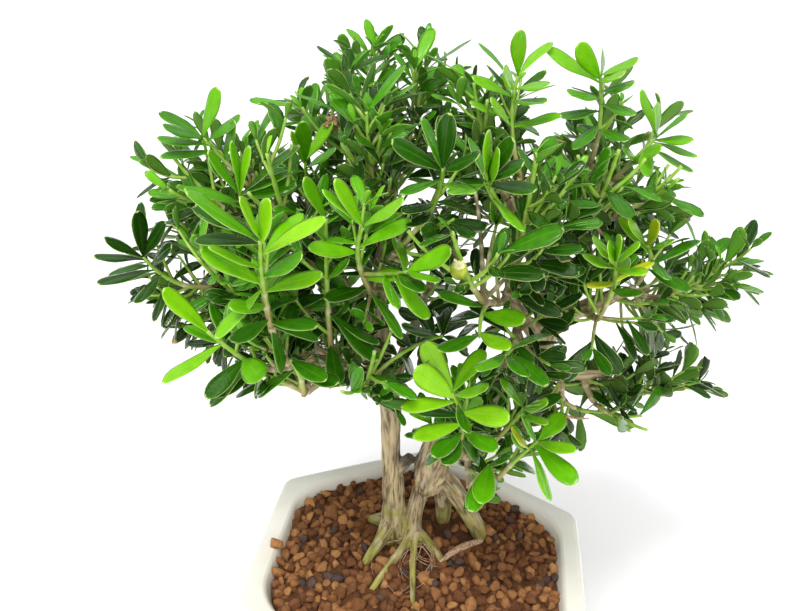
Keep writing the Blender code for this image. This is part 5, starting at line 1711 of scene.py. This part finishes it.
    def _find_room(self, draw: random.Random, name: str, root: Vector, outward: Vector, tangent: Vector,
                   spread: float, size: float, age: float) -> Leaf | None:
        """A leaf turned, tilted and shortened until it stands clear, or None."""
        for attempt in range(7):
            loose = 6 + attempt * 7
            along, face = self.rules.leaf_frame(
                outward, tangent, math.radians(spread + draw.uniform(-loose, loose) * 0.6),
                math.radians(draw.uniform(-loose, loose)), math.radians(draw.uniform(-loose, loose)))
            test = self.rules.swollen_blade(root, along, face, size)
            leaf = Leaf(root, along, face, size, age)
            if self.picture.allows(leaf) and self.rules.space.clear(*test, skip=(self.rules.shoot_owner(name),)):
                self.rules.space.add(name, *test)
                return self._vary(draw, leaf)
            size *= 0.96
        return None

    @staticmethod
    def _vary(draw: random.Random, leaf: Leaf) -> Leaf:
        """Gives a leaf its own width, arch, fold and twist."""
        leaf.ratio = LEAF_RATIO * draw.uniform(0.84, 1.06)
        leaf.arch = LEAF_ARCH * draw.uniform(0.5, 1.5)
        leaf.fold = draw.uniform(-0.05, 0.3)
        leaf.twist = draw.uniform(-0.35, 0.35)
        leaf.age += draw.uniform(-0.07, 0.07)
        chance = draw.random()
        leaf.burnt = draw.uniform(0.05, 0.16) if chance < 0.025 else 0.0
        leaf.cut = chance > 0.975
        return leaf


@dataclass
class WoodTube:
    """One round length of wood along a smooth line.

    Attributes:
        rows: Points of its middle line with the radius at each.
        flute: Depth of the hollows along it, as a share of the radius.
        is_twig: Whether it is a twig, with leaf scars.
    """

    rows: np.ndarray
    flute: float
    is_twig: bool

    def smooth(self, step: float) -> np.ndarray:
        """The rows read from a smooth curve through them, about a step apart."""
        rows = self.rows
        if self.is_twig:
            a, middle, b = rows[0], rows[1], rows[-1]
            control = middle * 2 - (a + b) / 2
            t = np.linspace(0, 1, 9)[:, None]
            return a * (1 - t) ** 2 + control * 2 * t * (1 - t) + b * t * t
        ends = np.vstack([rows[0] * 2 - rows[1], rows, rows[-1] * 2 - rows[-2]])
        out = []
        for i in range(1, len(ends) - 2):
            p0, p1, p2, p3 = ends[i - 1:i + 3]
            count = max(2, int(np.linalg.norm(p2[:3] - p1[:3]) / step))
            for t in np.linspace(0, 1, count, endpoint=False):
                out.append(0.5 * (2 * p1 + (p2 - p0) * t + (2 * p0 - 5 * p1 + 4 * p2 - p3) * t ** 2
                                  + (3 * p1 - p0 - 3 * p2 + p3) * t ** 3))
        out.append(rows[-1])
        return np.array(out)


@dataclass
class Wood:
    """Both trunks with their roots, the limbs and the twigs: one piece of old boxwood.

    The tubes are fused by a voxel remesh, then furrowed along their own grain.

    Attributes:
        rules: The solids' own twigs.
        thick_voxel: Voxel for trunks, roots and limbs.
        thin_voxel: Voxel for twigs.
        moss_top: Height up to which the wood is mossy.
    """

    rules: CrownRules
    thick_voxel: float = 0.77
    thin_voxel: float = 0.85
    moss_top: float = 98.0

    def build(self, look: bpy.types.Material) -> None:
        """Builds the piece that stands for the solids' wood."""
        thick = [WoodTube(np.array(rows, float), flute, False) for _, flute, rows in TRUNKS.values()]
        thick += [WoodTube(np.array(rows, float), 0.05, False) for rows in LIMBS.values()]
        thick += [WoodTube(np.array(rows, float), 0.0, False) for rows in self._stubs()]
        thin = [WoodTube(np.array([(*point, radius) for point, radius in zip(path, radii)]), 0.0, True)
                for path, radii in self.rules.twigs.values()]
        skin = Skin()
        for tubes, voxel in ((thick, self.thick_voxel), (thin, self.thin_voxel)):
            points, faces = self._fuse(tubes, voxel)
            grain, radius, twig = self._grain(points, tubes)
            points, bark = self._furrow(points, faces, grain, radius, twig)
            skin.add(points, faces, 0, {Value.GRAIN: grain, Value.BARK: bark})
        place_piece(skin.to_object("old_wood", (look,)), "bark", WOOD)

    @staticmethod
    def _stubs() -> tuple[tuple[Row, ...], ...]:
        """Old pruning stubs: the dead grey one between the trunks and a short one higher up."""
        return (
            ((-15, 12, 108, 3.4), (-10.5, 11.5, 114, 2.9), (-8.2, 10.5, 119, 2.4)),
            ((20, 19, 148, 3.0), (21, 11, 153, 2.4), (21, 8, 156, 1.9)),
        )

    @staticmethod
    def _fuse(tubes: Sequence[WoodTube], voxel: float) -> tuple[np.ndarray, Faces]:
        """One skin over all the tubes, with soft fillets where they meet."""
        mesh_points: list[Vector] = []
        mesh_faces: Faces = []
        for wood in tubes:
            rows = wood.smooth(2.5)
            points, faces = tube([Vector(row[:3]) for row in rows], [row[3] for row in rows], 14, wood.flute)
            first = len(mesh_points)
            mesh_points += points
            mesh_faces += [tuple(first + i for i in face) for face in faces]
        mesh = bpy.data.meshes.new("wood")
        mesh.from_pydata([point * MM for point in mesh_points], [], mesh_faces)
        made = bpy.data.objects.new("wood", mesh)
        bpy.context.scene.collection.objects.link(made)
        remesh = made.modifiers.new("fuse", "REMESH")
        remesh.mode = "VOXEL"
        remesh.voxel_size = voxel * MM
        soften = made.modifiers.new("soften", "SMOOTH")
        soften.factor = 0.5
        soften.iterations = 3
        graph = bpy.context.evaluated_depsgraph_get()
        result = made.evaluated_get(graph).to_mesh()
        flat = np.empty(len(result.vertices) * 3)
        result.vertices.foreach_get("co", flat)
        faces = [tuple(face.vertices) for face in result.polygons]
        bpy.data.objects.remove(made)
        return flat.reshape(-1, 3) / MM, faces

    @staticmethod
    def _grain(points: np.ndarray, tubes: Sequence[WoodTube]) -> tuple[np.ndarray, np.ndarray, np.ndarray]:
        """Each point's place in the grain of the nearest tube, that tube's radius there, and 1 on twigs."""
        best = np.full(len(points), np.inf)
        grain = np.zeros((len(points), 3))
        radius = np.ones(len(points))
        twig = np.zeros(len(points))
        for number, wood in enumerate(tubes):
            rows = wood.smooth(6.0)
            normal = None
            run = number * 50.0
            for a, b in zip(rows, rows[1:]):
                ahead = Vector(b[:3] - a[:3])
                length = ahead.length
                ahead.normalize()
                normal = across(ahead, Vector((1, 0.3, 0)) if normal is None else normal)
                frame = np.array([tuple(normal), tuple(ahead.cross(normal)), tuple(ahead)])
                local = (points - a[:3]) @ frame.T
                t = np.clip(local[:, 2] / length, 0, 1)
                thick = a[3] + (b[3] - a[3]) * t
                away = np.hypot(np.hypot(local[:, 0], local[:, 1]), local[:, 2] - t * length) - thick
                nearer = away < best
                best[nearer] = away[nearer]
                radius[nearer] = thick[nearer]
                twig[nearer] = float(wood.is_twig)
                grain[nearer] = np.stack([local[:, 0], local[:, 1], local[:, 2] + run], 1)[nearer]
                run += length
        return grain, radius, twig

    def _furrow(self, points: np.ndarray, faces: Faces, grain: np.ndarray, radius: np.ndarray,
                twig: np.ndarray) -> tuple[np.ndarray, np.ndarray]:
        """Moves the skin along its normals into ridges and fissures, and gives each point its bark value.

        Args:
            points: The fused skin's points.
            faces: Its faces.
            grain: Each point's place in the grain.
            radius: The wood's radius at each point.
            twig: 1 on twigs.

        Returns:
            The moved points, and the relief, moss and deadness of each.
        """
        mesh = bpy.data.meshes.new("skin")
        mesh.from_pydata(points.tolist(), [], faces)
        normals = np.empty(len(points) * 3)
        mesh.vertices.foreach_get("normal", normals)
        bpy.data.meshes.remove(mesh)
        normals = normals.reshape(-1, 3)
        moved = points.copy()
        bark = np.zeros((len(points), 3))
        stub = np.array((-8.5, 10.5, 118.0))
        for i, ((x, y, along), r) in enumerate(zip(grain, radius)):
            swell = noise.noise(Vector((x / 5.5, y / 5.5, along / 34)))
            crack = 1 - abs(noise.noise(Vector((x / 1.9, y / 1.9, along / 15)))) * 3.2
            plate = noise.noise(Vector((x / 2.6 + 9, y / 2.6, along / 6)))
            crack = max(0.0, crack) ** 1.5
            size = min(1.0, r / 5)
            lift = size * (0.55 * swell + 0.2 * plate - 0.38 * crack)
            relief = 0.5 * swell + 0.6 * plate - 1.1 * crack + 0.25
            if twig[i]:
                ring = math.exp(-((along % 6.5) - 3.2) ** 2 / 0.5)
                lift = 0.12 * plate + 0.22 * ring
                relief = 0.3 * plate + 0.9 * ring - 0.25
            moved[i] += normals[i] * lift
            height = points[i][2]
            damp = noise.noise(Vector(points[i] / 7.0)) + noise.noise(Vector(points[i] / 2.2)) * 0.5
            moss = (self.moss_top - height) / 30 + damp * 0.9 - 0.15
            dead = 1 - np.linalg.norm(points[i] - stub) / 7
            bark[i] = (relief, min(max(moss, 0.0), 1.0), min(max(dead * 2, 0.0), 1.0))
        return moved, bark


@dataclass
class HexPot:
    """The hexagonal glazed pot, in one skin with its rim, foot ring and drain hole rounded off.

    Attributes:
        corner_steps: Points round each corner.
        flat_steps: Points along each side between the corners.
        fillet: Rounding of the wall's outline where it turns.
    """

    corner_steps: int = 12
    flat_steps: int = 5
    fillet: float = 1.6

    def ring(self, radius: float, corner: float, height: float) -> list[Vector]:
        """A hexagon with rounded corners; radius is to the corner before rounding."""
        centre = radius - corner / math.cos(math.radians(30))
        ring: list[Vector] = []
        for vertex in range(6):
            angle = math.radians(90 + 60 * vertex)
            middle = Vector((math.cos(angle), math.sin(angle), 0)) * centre
            for step in range(self.corner_steps):
                turn = angle + math.radians(-30 + 60 * step / (self.corner_steps - 1))
                ring.append(middle + Vector((math.cos(turn), math.sin(turn), 0)) * corner + UP * height)
            last = ring[-1]
            following = math.radians(90 + 60 * (vertex + 1))
            first = Vector((math.cos(following), math.sin(following), 0)) * centre
            turn = following - math.radians(30)
            first += Vector((math.cos(turn), math.sin(turn), 0)) * corner + UP * height
            ring += [last.lerp(first, (k + 1) / (self.flat_steps + 1)) for k in range(self.flat_steps)]
        return ring

    def outline(self) -> list[Vector]:
        """The wall's outline as radius, corner and height, with each turn rounded."""
        rows = [Vector(row) for row in (*POT_OUTSIDE, *POT_INSIDE)]
        out = [rows[0]]
        for before, here, after in zip(rows, rows[1:], rows[2:]):
            reach = min(self.fillet, (here - before).length * 0.45, (after - here).length * 0.45)
            start = here + (before - here).normalized() * reach
            end = here + (after - here).normalized() * reach
            bend = Curve(start, here, end)
            out += [bend.point(t / 4) for t in range(5)]
        return out + [rows[-1]]

    def build(self, look: bpy.types.Material) -> None:
        """Builds the pot that stands for the solids' pot."""
        floor, foot = POT_INSIDE[-1][2], POT_UNDER[0][2]
        rings = [self.ring(*row) for row in self.outline()]
        for height in (floor, foot):
            rings.append([Vector((p.x, p.y, 0)).normalized() * DRAIN_RADIUS + UP * height
                          for p in self.ring(2, 1, 0)])
        rings += [self.ring(*row) for row in POT_UNDER]
        count = len(rings[0])
        points, faces = loft(rings, capped=False)
        last = (len(rings) - 1) * count
        faces += [(last + i, last + (i + 1) % count, (i + 1) % count, i) for i in range(count)]
        uneven = []
        for point in points:
            out = Vector((point.x, point.y, 0)).normalized()
            sway = noise.noise(point / 38.0) * 0.5 * min(1.0, point.z / 30)
            uneven.append(tuple(point + out * sway))
        skin = Skin()
        skin.add(np.array(uneven), faces)
        place_piece(skin.to_object("glazed_pot", (look,)), "pot_glaze", "pot")


@dataclass
class GranuleBed:
    """The baked-clay granules that fill the pot's top, each a stone of its own at rest on the others.

    Attributes:
        reach: Distance from the centre to the bed's corners.
        sizes: Smallest and largest radius of a stone.
        spacing: Distance between the stones of the lower layer.
        depth: How far below the surface the upper stones may sink.
        most: Number of stones in the upper layer.
    """

    reach: float = 77.0
    spacing: float = 5.0
    sizes: tuple[float, float] = (1.9, 3.3)
    depth: float = 1.6
    most: int = 340

    @staticmethod
    def surface(x: float, y: float) -> float:
        """Height of the bed's surface, which mounds up towards the trunks."""
        away = math.hypot(x - MOUND_CENTRE[0], y - MOUND_CENTRE[1])
        return SOIL_AT_WALL + SOIL_MOUND * math.exp(-(away / MOUND_REACH) ** 2)

    def inside(self, x: float, y: float, margin: float) -> bool:
        """Whether a place is within the inner wall by a margin."""
        flat = self.reach * math.cos(math.radians(30)) - margin
        corner = self.reach - 5.5 - margin
        if math.hypot(x, y) > corner:
            return False
        return all(abs(x * math.cos(a) + y * math.sin(a)) <= flat for a in (0, math.pi / 3, 2 * math.pi / 3))

    def build(self, look: bpy.types.Material, soil: bpy.types.Object) -> None:
        """Drops the stones one by one into the lowest place, then shapes each.

        Args:
            look: The clay.
            soil: The solids' soil, which shows below the stones and gets the same clay at its darkest tones, as painted
                shade in the gaps between the stones.
        """
        draw = random.Random(11)
        # The soil carries no stone value, so the clay gives it its darkest tones: painted shade in the gaps between the
        # stones.
        soil.data.materials.clear()
        soil.data.materials.append(look)
        wood = self._wood_rings()
        stones = self._lower_layer(draw, wood)
        lower = len(stones)
        while len(stones) < lower + self.most:
            radius = self.sizes[0] + (self.sizes[1] - self.sizes[0]) * draw.random() ** 1.3
            spots = [self._rest(draw, stones, radius, wood) for _ in range(16)]
            spot, rise = min(spots, key=lambda found: found[1])
            if rise > 1.2:
                continue
            stones.append((spot, radius))
        skin = Skin()
        for i, (centre, radius) in enumerate(stones):
            self._add_stone(skin, draw, centre, radius, 2 if i < lower else 3)
        self._add_stone(skin, draw, Vector((-68.3, -7.4, RIM_TOP + 2.2)), 3.2, 3)
        place_piece(skin.to_object("clay_granules", (look,)), "granules")
        LOG.info("%d stones", len(stones))

    def _lower_layer(self, draw: random.Random, wood: list[tuple[Vector, Vector, float]]) -> list[tuple[Vector, float]]:
        """Stones side by side all over the bed, half sunk into the solids' soil."""
        stones = []
        count = int(self.reach / self.spacing) + 1
        for row in range(-count, count + 1):
            for column in range(-count, count + 1):
                x = (column + 0.5 * (row % 2)) * self.spacing + draw.uniform(-1.2, 1.2)
                y = row * self.spacing * 0.866 + draw.uniform(-1.2, 1.2)
                radius = draw.uniform(2.1, 3.1)
                spot = Vector((x, y, self.surface(x, y) - draw.uniform(1.2, 2.2)))
                if self.inside(x, y, radius * 0.75) and self._clear_of_wood(spot, radius, wood):
                    stones.append((spot, radius))
        return stones

    def _clear_of_wood(self, spot: Vector, radius: float, wood: list[tuple[Vector, Vector, float]]) -> bool:
        """Whether a stone keeps out of the trunks and doesn't cover a root."""
        flat = Vector((spot.x, spot.y, 0))
        for a, b, thick in wood:
            foot, span = Vector((a.x, a.y, 0)), Vector((b.x - a.x, b.y - a.y, 0))
            t = min(max((flat - foot).dot(span) / max(span.length_squared, 1e-6), 0), 1)
            near = a.lerp(b, t)
            shows = near.z + thick > self.surface(spot.x, spot.y)
            if shows and math.hypot(near.x - spot.x, near.y - spot.y) < thick + radius * 0.5:
                return False
        return True

    @staticmethod
    def _wood_rings() -> list[tuple[Vector, Vector, float]]:
        """Stretches of trunk and root near the soil, which stones keep out of."""
        rings = []
        for _, _, rows in TRUNKS.values():
            for a, b in zip(rows, rows[1:]):
                if min(a[2], b[2]) < RIM_TOP + 8:
                    rings.append((Vector(a[:3]), Vector(b[:3]), max(a[3], b[3])))
        return rings

    def _rest(self, draw: random.Random, stones: list[tuple[Vector, float]], radius: float,
              wood: list[tuple[Vector, Vector, float]]) -> tuple[Vector, float]:
        """Where a stone comes to rest at a random place, and how far its centre is above the surface."""
        while True:
            x, y = draw.uniform(-self.reach, self.reach), draw.uniform(-self.reach, self.reach)
            if self.inside(x, y, radius * 0.75):
                break
        level = self.surface(x, y)
        z = level - self.depth
        for centre, other in stones:
            flat = math.hypot(centre.x - x, centre.y - y)
            touch = (radius + other) * 0.8
            if flat < touch:
                z = max(z, centre.z + math.sqrt(touch ** 2 - flat ** 2) * 0.9)
        spot = Vector((x, y, z))
        if not self._clear_of_wood(spot, radius, wood):
            return spot, 99.0
        return spot, z - level

    @staticmethod
    def _add_stone(skin: Skin, draw: random.Random, centre: Vector, radius: float, detail: int) -> None:
        """Adds a lumpy stone with a few broken faces."""
        shape = bmesh.new()
        bmesh.ops.create_icosphere(shape, subdivisions=detail, radius=1.0)
        seed = Vector((draw.uniform(0, 90), draw.uniform(0, 90), draw.uniform(0, 90)))
        squash = Vector((draw.uniform(1.0, 1.3), draw.uniform(0.8, 1.04), draw.uniform(0.66, 0.92)))
        turn = Quaternion((draw.gauss(0, 1), draw.gauss(0, 1), draw.gauss(0, 1), draw.gauss(0, 1))).normalized()
        planes = []
        for _ in range(8):
            planes.append((Vector((draw.gauss(0, 1), draw.gauss(0, 1), draw.gauss(0, 1))).normalized(),
                           draw.uniform(0.5, 0.86)))
        points = []
        for vert in shape.verts:
            lump = 0.24 * noise.noise(vert.co * 1.3 + seed) + 0.16 * noise.noise(vert.co * 3.1 + seed)
            p = vert.co * (1 + lump)
            for normal, limit in planes:
                over = p.dot(normal) - limit
                if over > 0:
                    p = p - normal * over * 0.9
            p = Vector((p.x * squash.x, p.y * squash.y, p.z * squash.z))
            points.append(tuple(centre + (turn @ p) * radius * 1.16))
        faces = [tuple(v.index for v in face.verts) for face in shape.faces]
        shape.free()
        dark = 0.85 if draw.random() < 0.07 else 0.0
        kind = np.tile((draw.uniform(0.1, 0.9), draw.random(), dark), (len(points), 1))
        skin.add(np.array(points), faces, 0, {Value.STONE: kind})


@dataclass
class SeedHeads:
    """The dry seed heads, each a tuft of split husks, and the one green capsule with its pale crown."""

    rules: CrownRules
    husks: int = 46

    def build(self, dry: bpy.types.Material, green: bpy.types.Material, crown: bpy.types.Material) -> None:
        """Builds each head where its solid is.

        Args:
            dry: Finish of the husks.
            green: Finish of the capsule.
            crown: Finish of the capsule's pale top.
        """
        for number, (name, *_) in enumerate(HEADS):
            centre, away, radius = self.rules.heads[name]
            skin = Skin()
            draw = random.Random(70 + number)
            for i in range(self.husks):
                self._husk(skin, draw, centre, away, radius, i)
            place_piece(skin.to_object(name + "_husks", (dry,)), "seed_head", name)
        self._capsule(green, crown)

    def _husk(self, skin: Skin, draw: random.Random, centre: Vector, away: Vector, radius: float, i: int) -> None:
        """Adds one pointed husk that stands out from the head's core."""
        height = 1 - 2 * (i + 0.5) / self.husks
        angle = i * 2.399963
        flat = math.sqrt(1 - height * height)
        out = away.to_track_quat("Z", "Y") @ Vector((flat * math.cos(angle), flat * math.sin(angle), height))
        out = (out + Vector((draw.gauss(0, 0.2), draw.gauss(0, 0.2), draw.gauss(0, 0.2)))).normalized()
        side = across(out, Vector((draw.gauss(0, 1), draw.gauss(0, 1), draw.gauss(0, 1))))
        second = out.cross(side)
        wide = radius * draw.uniform(0.3, 0.42)
        points = []
        for reach, share in ((0.25, 1.0), (0.7, 0.95), (0.98, 0.5)):
            for k in range(5):
                turn = 2 * math.pi * k / 5
                points.append(centre + out * radius * reach
                              + (side * math.cos(turn) + second * math.sin(turn) * 0.55) * wide * share)
        tip = centre + out * radius * draw.uniform(1.08, 1.3) + side * wide * 0.4
        points.append(tip)
        faces: Faces = [(4, 3, 2, 1, 0)]
        for low in (0, 5):
            faces += [(low + k, low + (k + 1) % 5, low + 5 + (k + 1) % 5, low + 5 + k) for k in range(5)]
        faces += [(10 + k, 10 + (k + 1) % 5, 15) for k in range(5)]
        skin.add(np.array([tuple(p) for p in points]), faces)

    def _capsule(self, green: bpy.types.Material, crown: bpy.types.Material) -> None:
        """Builds the capsule: an egg of three lobes with three short horns on its pale top."""
        centre, away, radius = self.rules.heads[CAPSULE[0]]
        upright = (away * 0.35 + UP).normalized()
        side = across(upright, away)
        second = upright.cross(side)
        rings = []
        steps = 12
        for step in range(steps + 1):
            turn = math.pi * (0.04 + 0.92 * step / steps)
            rings.append([
                centre - upright * math.cos(turn) * radius * 1.12
                + (side * math.cos(a) + second * math.sin(a)) * radius * 0.94 * math.sin(turn)
                * (1 + 0.05 * math.cos(3 * a))
                for a in (2 * math.pi * k / 18 for k in range(18))])
        points, faces = loft(rings)
        skin = Skin()
        skin.add(np.array([tuple(p) for p in points]), faces)
        skin.looks = [1 if i // 18 >= 9 else 0 for i in range(len(faces))]
        for k in range(3):
            angle = 2 * math.pi * k / 3
            lean = (side * math.cos(angle) + second * math.sin(angle))
            foot = centre + upright * radius * 0.95 + lean * radius * 0.35
            horn = tube([foot, foot + (upright + lean * 0.5) * radius * 0.22,
                         foot + (upright + lean * 1.1) * radius * 0.34], [0.5, 0.36, 0.12], 6)
            skin.add(np.array([tuple(p) for p in horn[0]]), horn[1], 1)
        place_piece(skin.to_object("capsule_with_crown", (green, crown)), "capsule", CAPSULE[0])


@dataclass
class LooseBits:
    """What lies on the granules or is caught in the crown: a loose root, rootlets and dead twigs."""

    loose_root: tuple[tuple[float, float, float, float], ...] = (
        (10, -3.5, 70.5, 0.9), (15, 1.5, 72.2, 1.5), (21, 6.5, 73.2, 1.7), (29, 12.5, 72.6, 1.2))
    dead_twig: tuple[tuple[float, float, float, float], ...] = (
        (50, -2, 157, 0.9), (56, -3, 158.5, 0.8), (62, -4, 159, 0.6), (66, -5, 160, 0.3))
    rootlets: int = 16

    def build(self, pale: bpy.types.Material) -> None:
        """Builds the loose pieces as one object."""
        skin = Skin()
        self._add_strand(skin, self.loose_root, 9)
        self._add_strand(skin, self.dead_twig, 6)
        draw = random.Random(41)
        for _ in range(self.rootlets):
            angle = draw.uniform(-2.4, -0.6)
            start = Vector((-4 + draw.uniform(-6, 9), 8 + draw.uniform(-4, 2), 0))
            reach = draw.uniform(10, 30)
            rows = []
            for step in range(6):
                share = step / 5
                bend = angle + 0.5 * math.sin(3 * share + angle * 9)
                spot = start + Vector((math.cos(bend), math.sin(bend), 0)) * reach * share
                level = GranuleBed.surface(spot.x, spot.y)
                rows.append((spot.x, spot.y, level + 3.6 - 3.4 * share + 0.6 * math.sin(7 * share), 0.34 - 0.2 * share))
            self._add_strand(skin, rows, 4)
        place_piece(skin.to_object("loose_roots_and_dead_twigs", (pale,)), "bark")

    @staticmethod
    def _add_strand(skin: Skin, rows: Sequence[Sequence[float]], sides: int) -> None:
        """Adds one strand along a smooth line."""
        fine = WoodTube(np.array(rows, float), 0.0, False).smooth(1.5)
        points, faces = tube([Vector(row[:3]) for row in fine], [row[3] for row in fine], sides)
        skin.add(np.array([tuple(p) for p in points]), faces)


@dataclass
class Studio:
    """Plain pale floor, a white surround, a lamp high on the left, a broad soft one above and a weaker one in front.

    Attributes:
        floor_reach: Half the floor's width, in metres.
        surround: Strength of the white surround.
        lamps: Name of each lamp, the direction that it shines from, its strength and the angle that it fills.
    """

    floor_reach: float = 9.0
    surround: float = 0.52
    lamps: tuple[tuple[str, tuple[float, float, float], float, float], ...] = (
        ("key", (-0.24, -0.46, 1.0), 1.3, 13.0),
        ("softbox", (-0.1, -0.4, 1.0), 1.6, 60.0),
        ("fill", (0.3, -1.0, 0.42), 1.0, 60.0),
    )

    def build(self) -> None:
        """Makes the floor, the surround and the lamps."""
        made, tree, shader = new_material("white_paper", Roughness=0.9, Base_Color=srgb("#FAFAFA"))
        spot = add_node(tree, "ShaderNodeTexCoord").outputs["Object"]
        fibre = add_node(tree, "ShaderNodeTexNoise", {"Vector": spot, "Scale": per_mm(40)}).outputs[0]
        bump = add_node(tree, "ShaderNodeBump", {"Height": fibre, "Strength": 0.05, "Distance": 0.001})
        tree.links.new(bump.outputs[0], shader.inputs["Normal"])
        reach = self.floor_reach
        mesh = bpy.data.meshes.new("floor")
        mesh.from_pydata([(-reach, -reach, 0), (reach, -reach, 0), (reach, reach, 0), (-reach, reach, 0)], [],
                         [(0, 1, 2, 3)])
        mesh.materials.append(made)
        floor = bpy.data.objects.new("floor", mesh)
        bpy.context.scene.collection.objects.link(floor)
        world = bpy.data.worlds.new("surround")
        bpy.context.scene.world = world
        world.use_nodes = True
        world.node_tree.nodes["Background"].inputs["Color"].default_value = srgb("#FFFFFF")
        world.node_tree.nodes["Background"].inputs["Strength"].default_value = self.surround
        for name, source, strength, spread in self.lamps:
            data = bpy.data.lights.new(name, "SUN")
            data.energy = strength
            data.angle = math.radians(spread)
            lamp = bpy.data.objects.new(name, data)
            lamp.rotation_euler = Vector(source).to_track_quat("Z", "Y").to_euler()
            bpy.context.scene.collection.objects.link(lamp)
        bpy.context.scene.view_settings.view_transform = "Standard"


def main() -> None:
    """Builds the plant's pieces in order and reports each."""
    logging.basicConfig(level=logging.INFO, format="%(name)s %(message)s")
    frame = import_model()
    rules = CrownRules()
    view = PhotoView()
    picture = Picture(rules, view)
    leaf, stem = BoxwoodLeaf().build(), BoxwoodStem().build()
    bark, clay, glaze = BoxwoodBark().build(), BakedClay().build(), CreamGlaze().build()
    husk = PlainFinish("dry_husk", "#C9A27C", "#6E4C36", 0.8, 0.85, 0.3).build()
    green = PlainFinish("green_capsule_skin", "#C3CC3C", "#96A82A", 1.6, 0.35, 0.05).build()
    crown = PlainFinish("pale_capsule_crown", "#EFE9B8", "#C9C27A", 0.9, 0.5, 0.1).build()
    dry_root = PlainFinish("dry_root", "#C9A98C", "#8A6A50", 1.2, 0.9, 0.25).build()
    HexPot().build(glaze)
    GranuleBed().build(clay, frame["nodes"]["soil"])
    Wood(rules).build(bark)
    Foliage(rules, picture).build(
        LeafMaker((0.0, 0.12, 0.32, 0.54, 0.74, 0.91, 1.0), (-1.0, -0.55, 0.0, 0.55, 1.0)),
        LeafMaker((0.0, 0.05, 0.12, 0.22, 0.33, 0.44, 0.55, 0.66, 0.76, 0.85, 0.92, 0.97, 1.0),
                  (-1.0, -0.7, -0.36, 0.0, 0.36, 0.7, 1.0)),
        (leaf, stem))
    SeedHeads(rules).build(husk, green, crown)
    LooseBits().build(dry_root)
    view.build()
    Studio().build()
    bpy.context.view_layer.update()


if __name__ == "__main__":
    main()
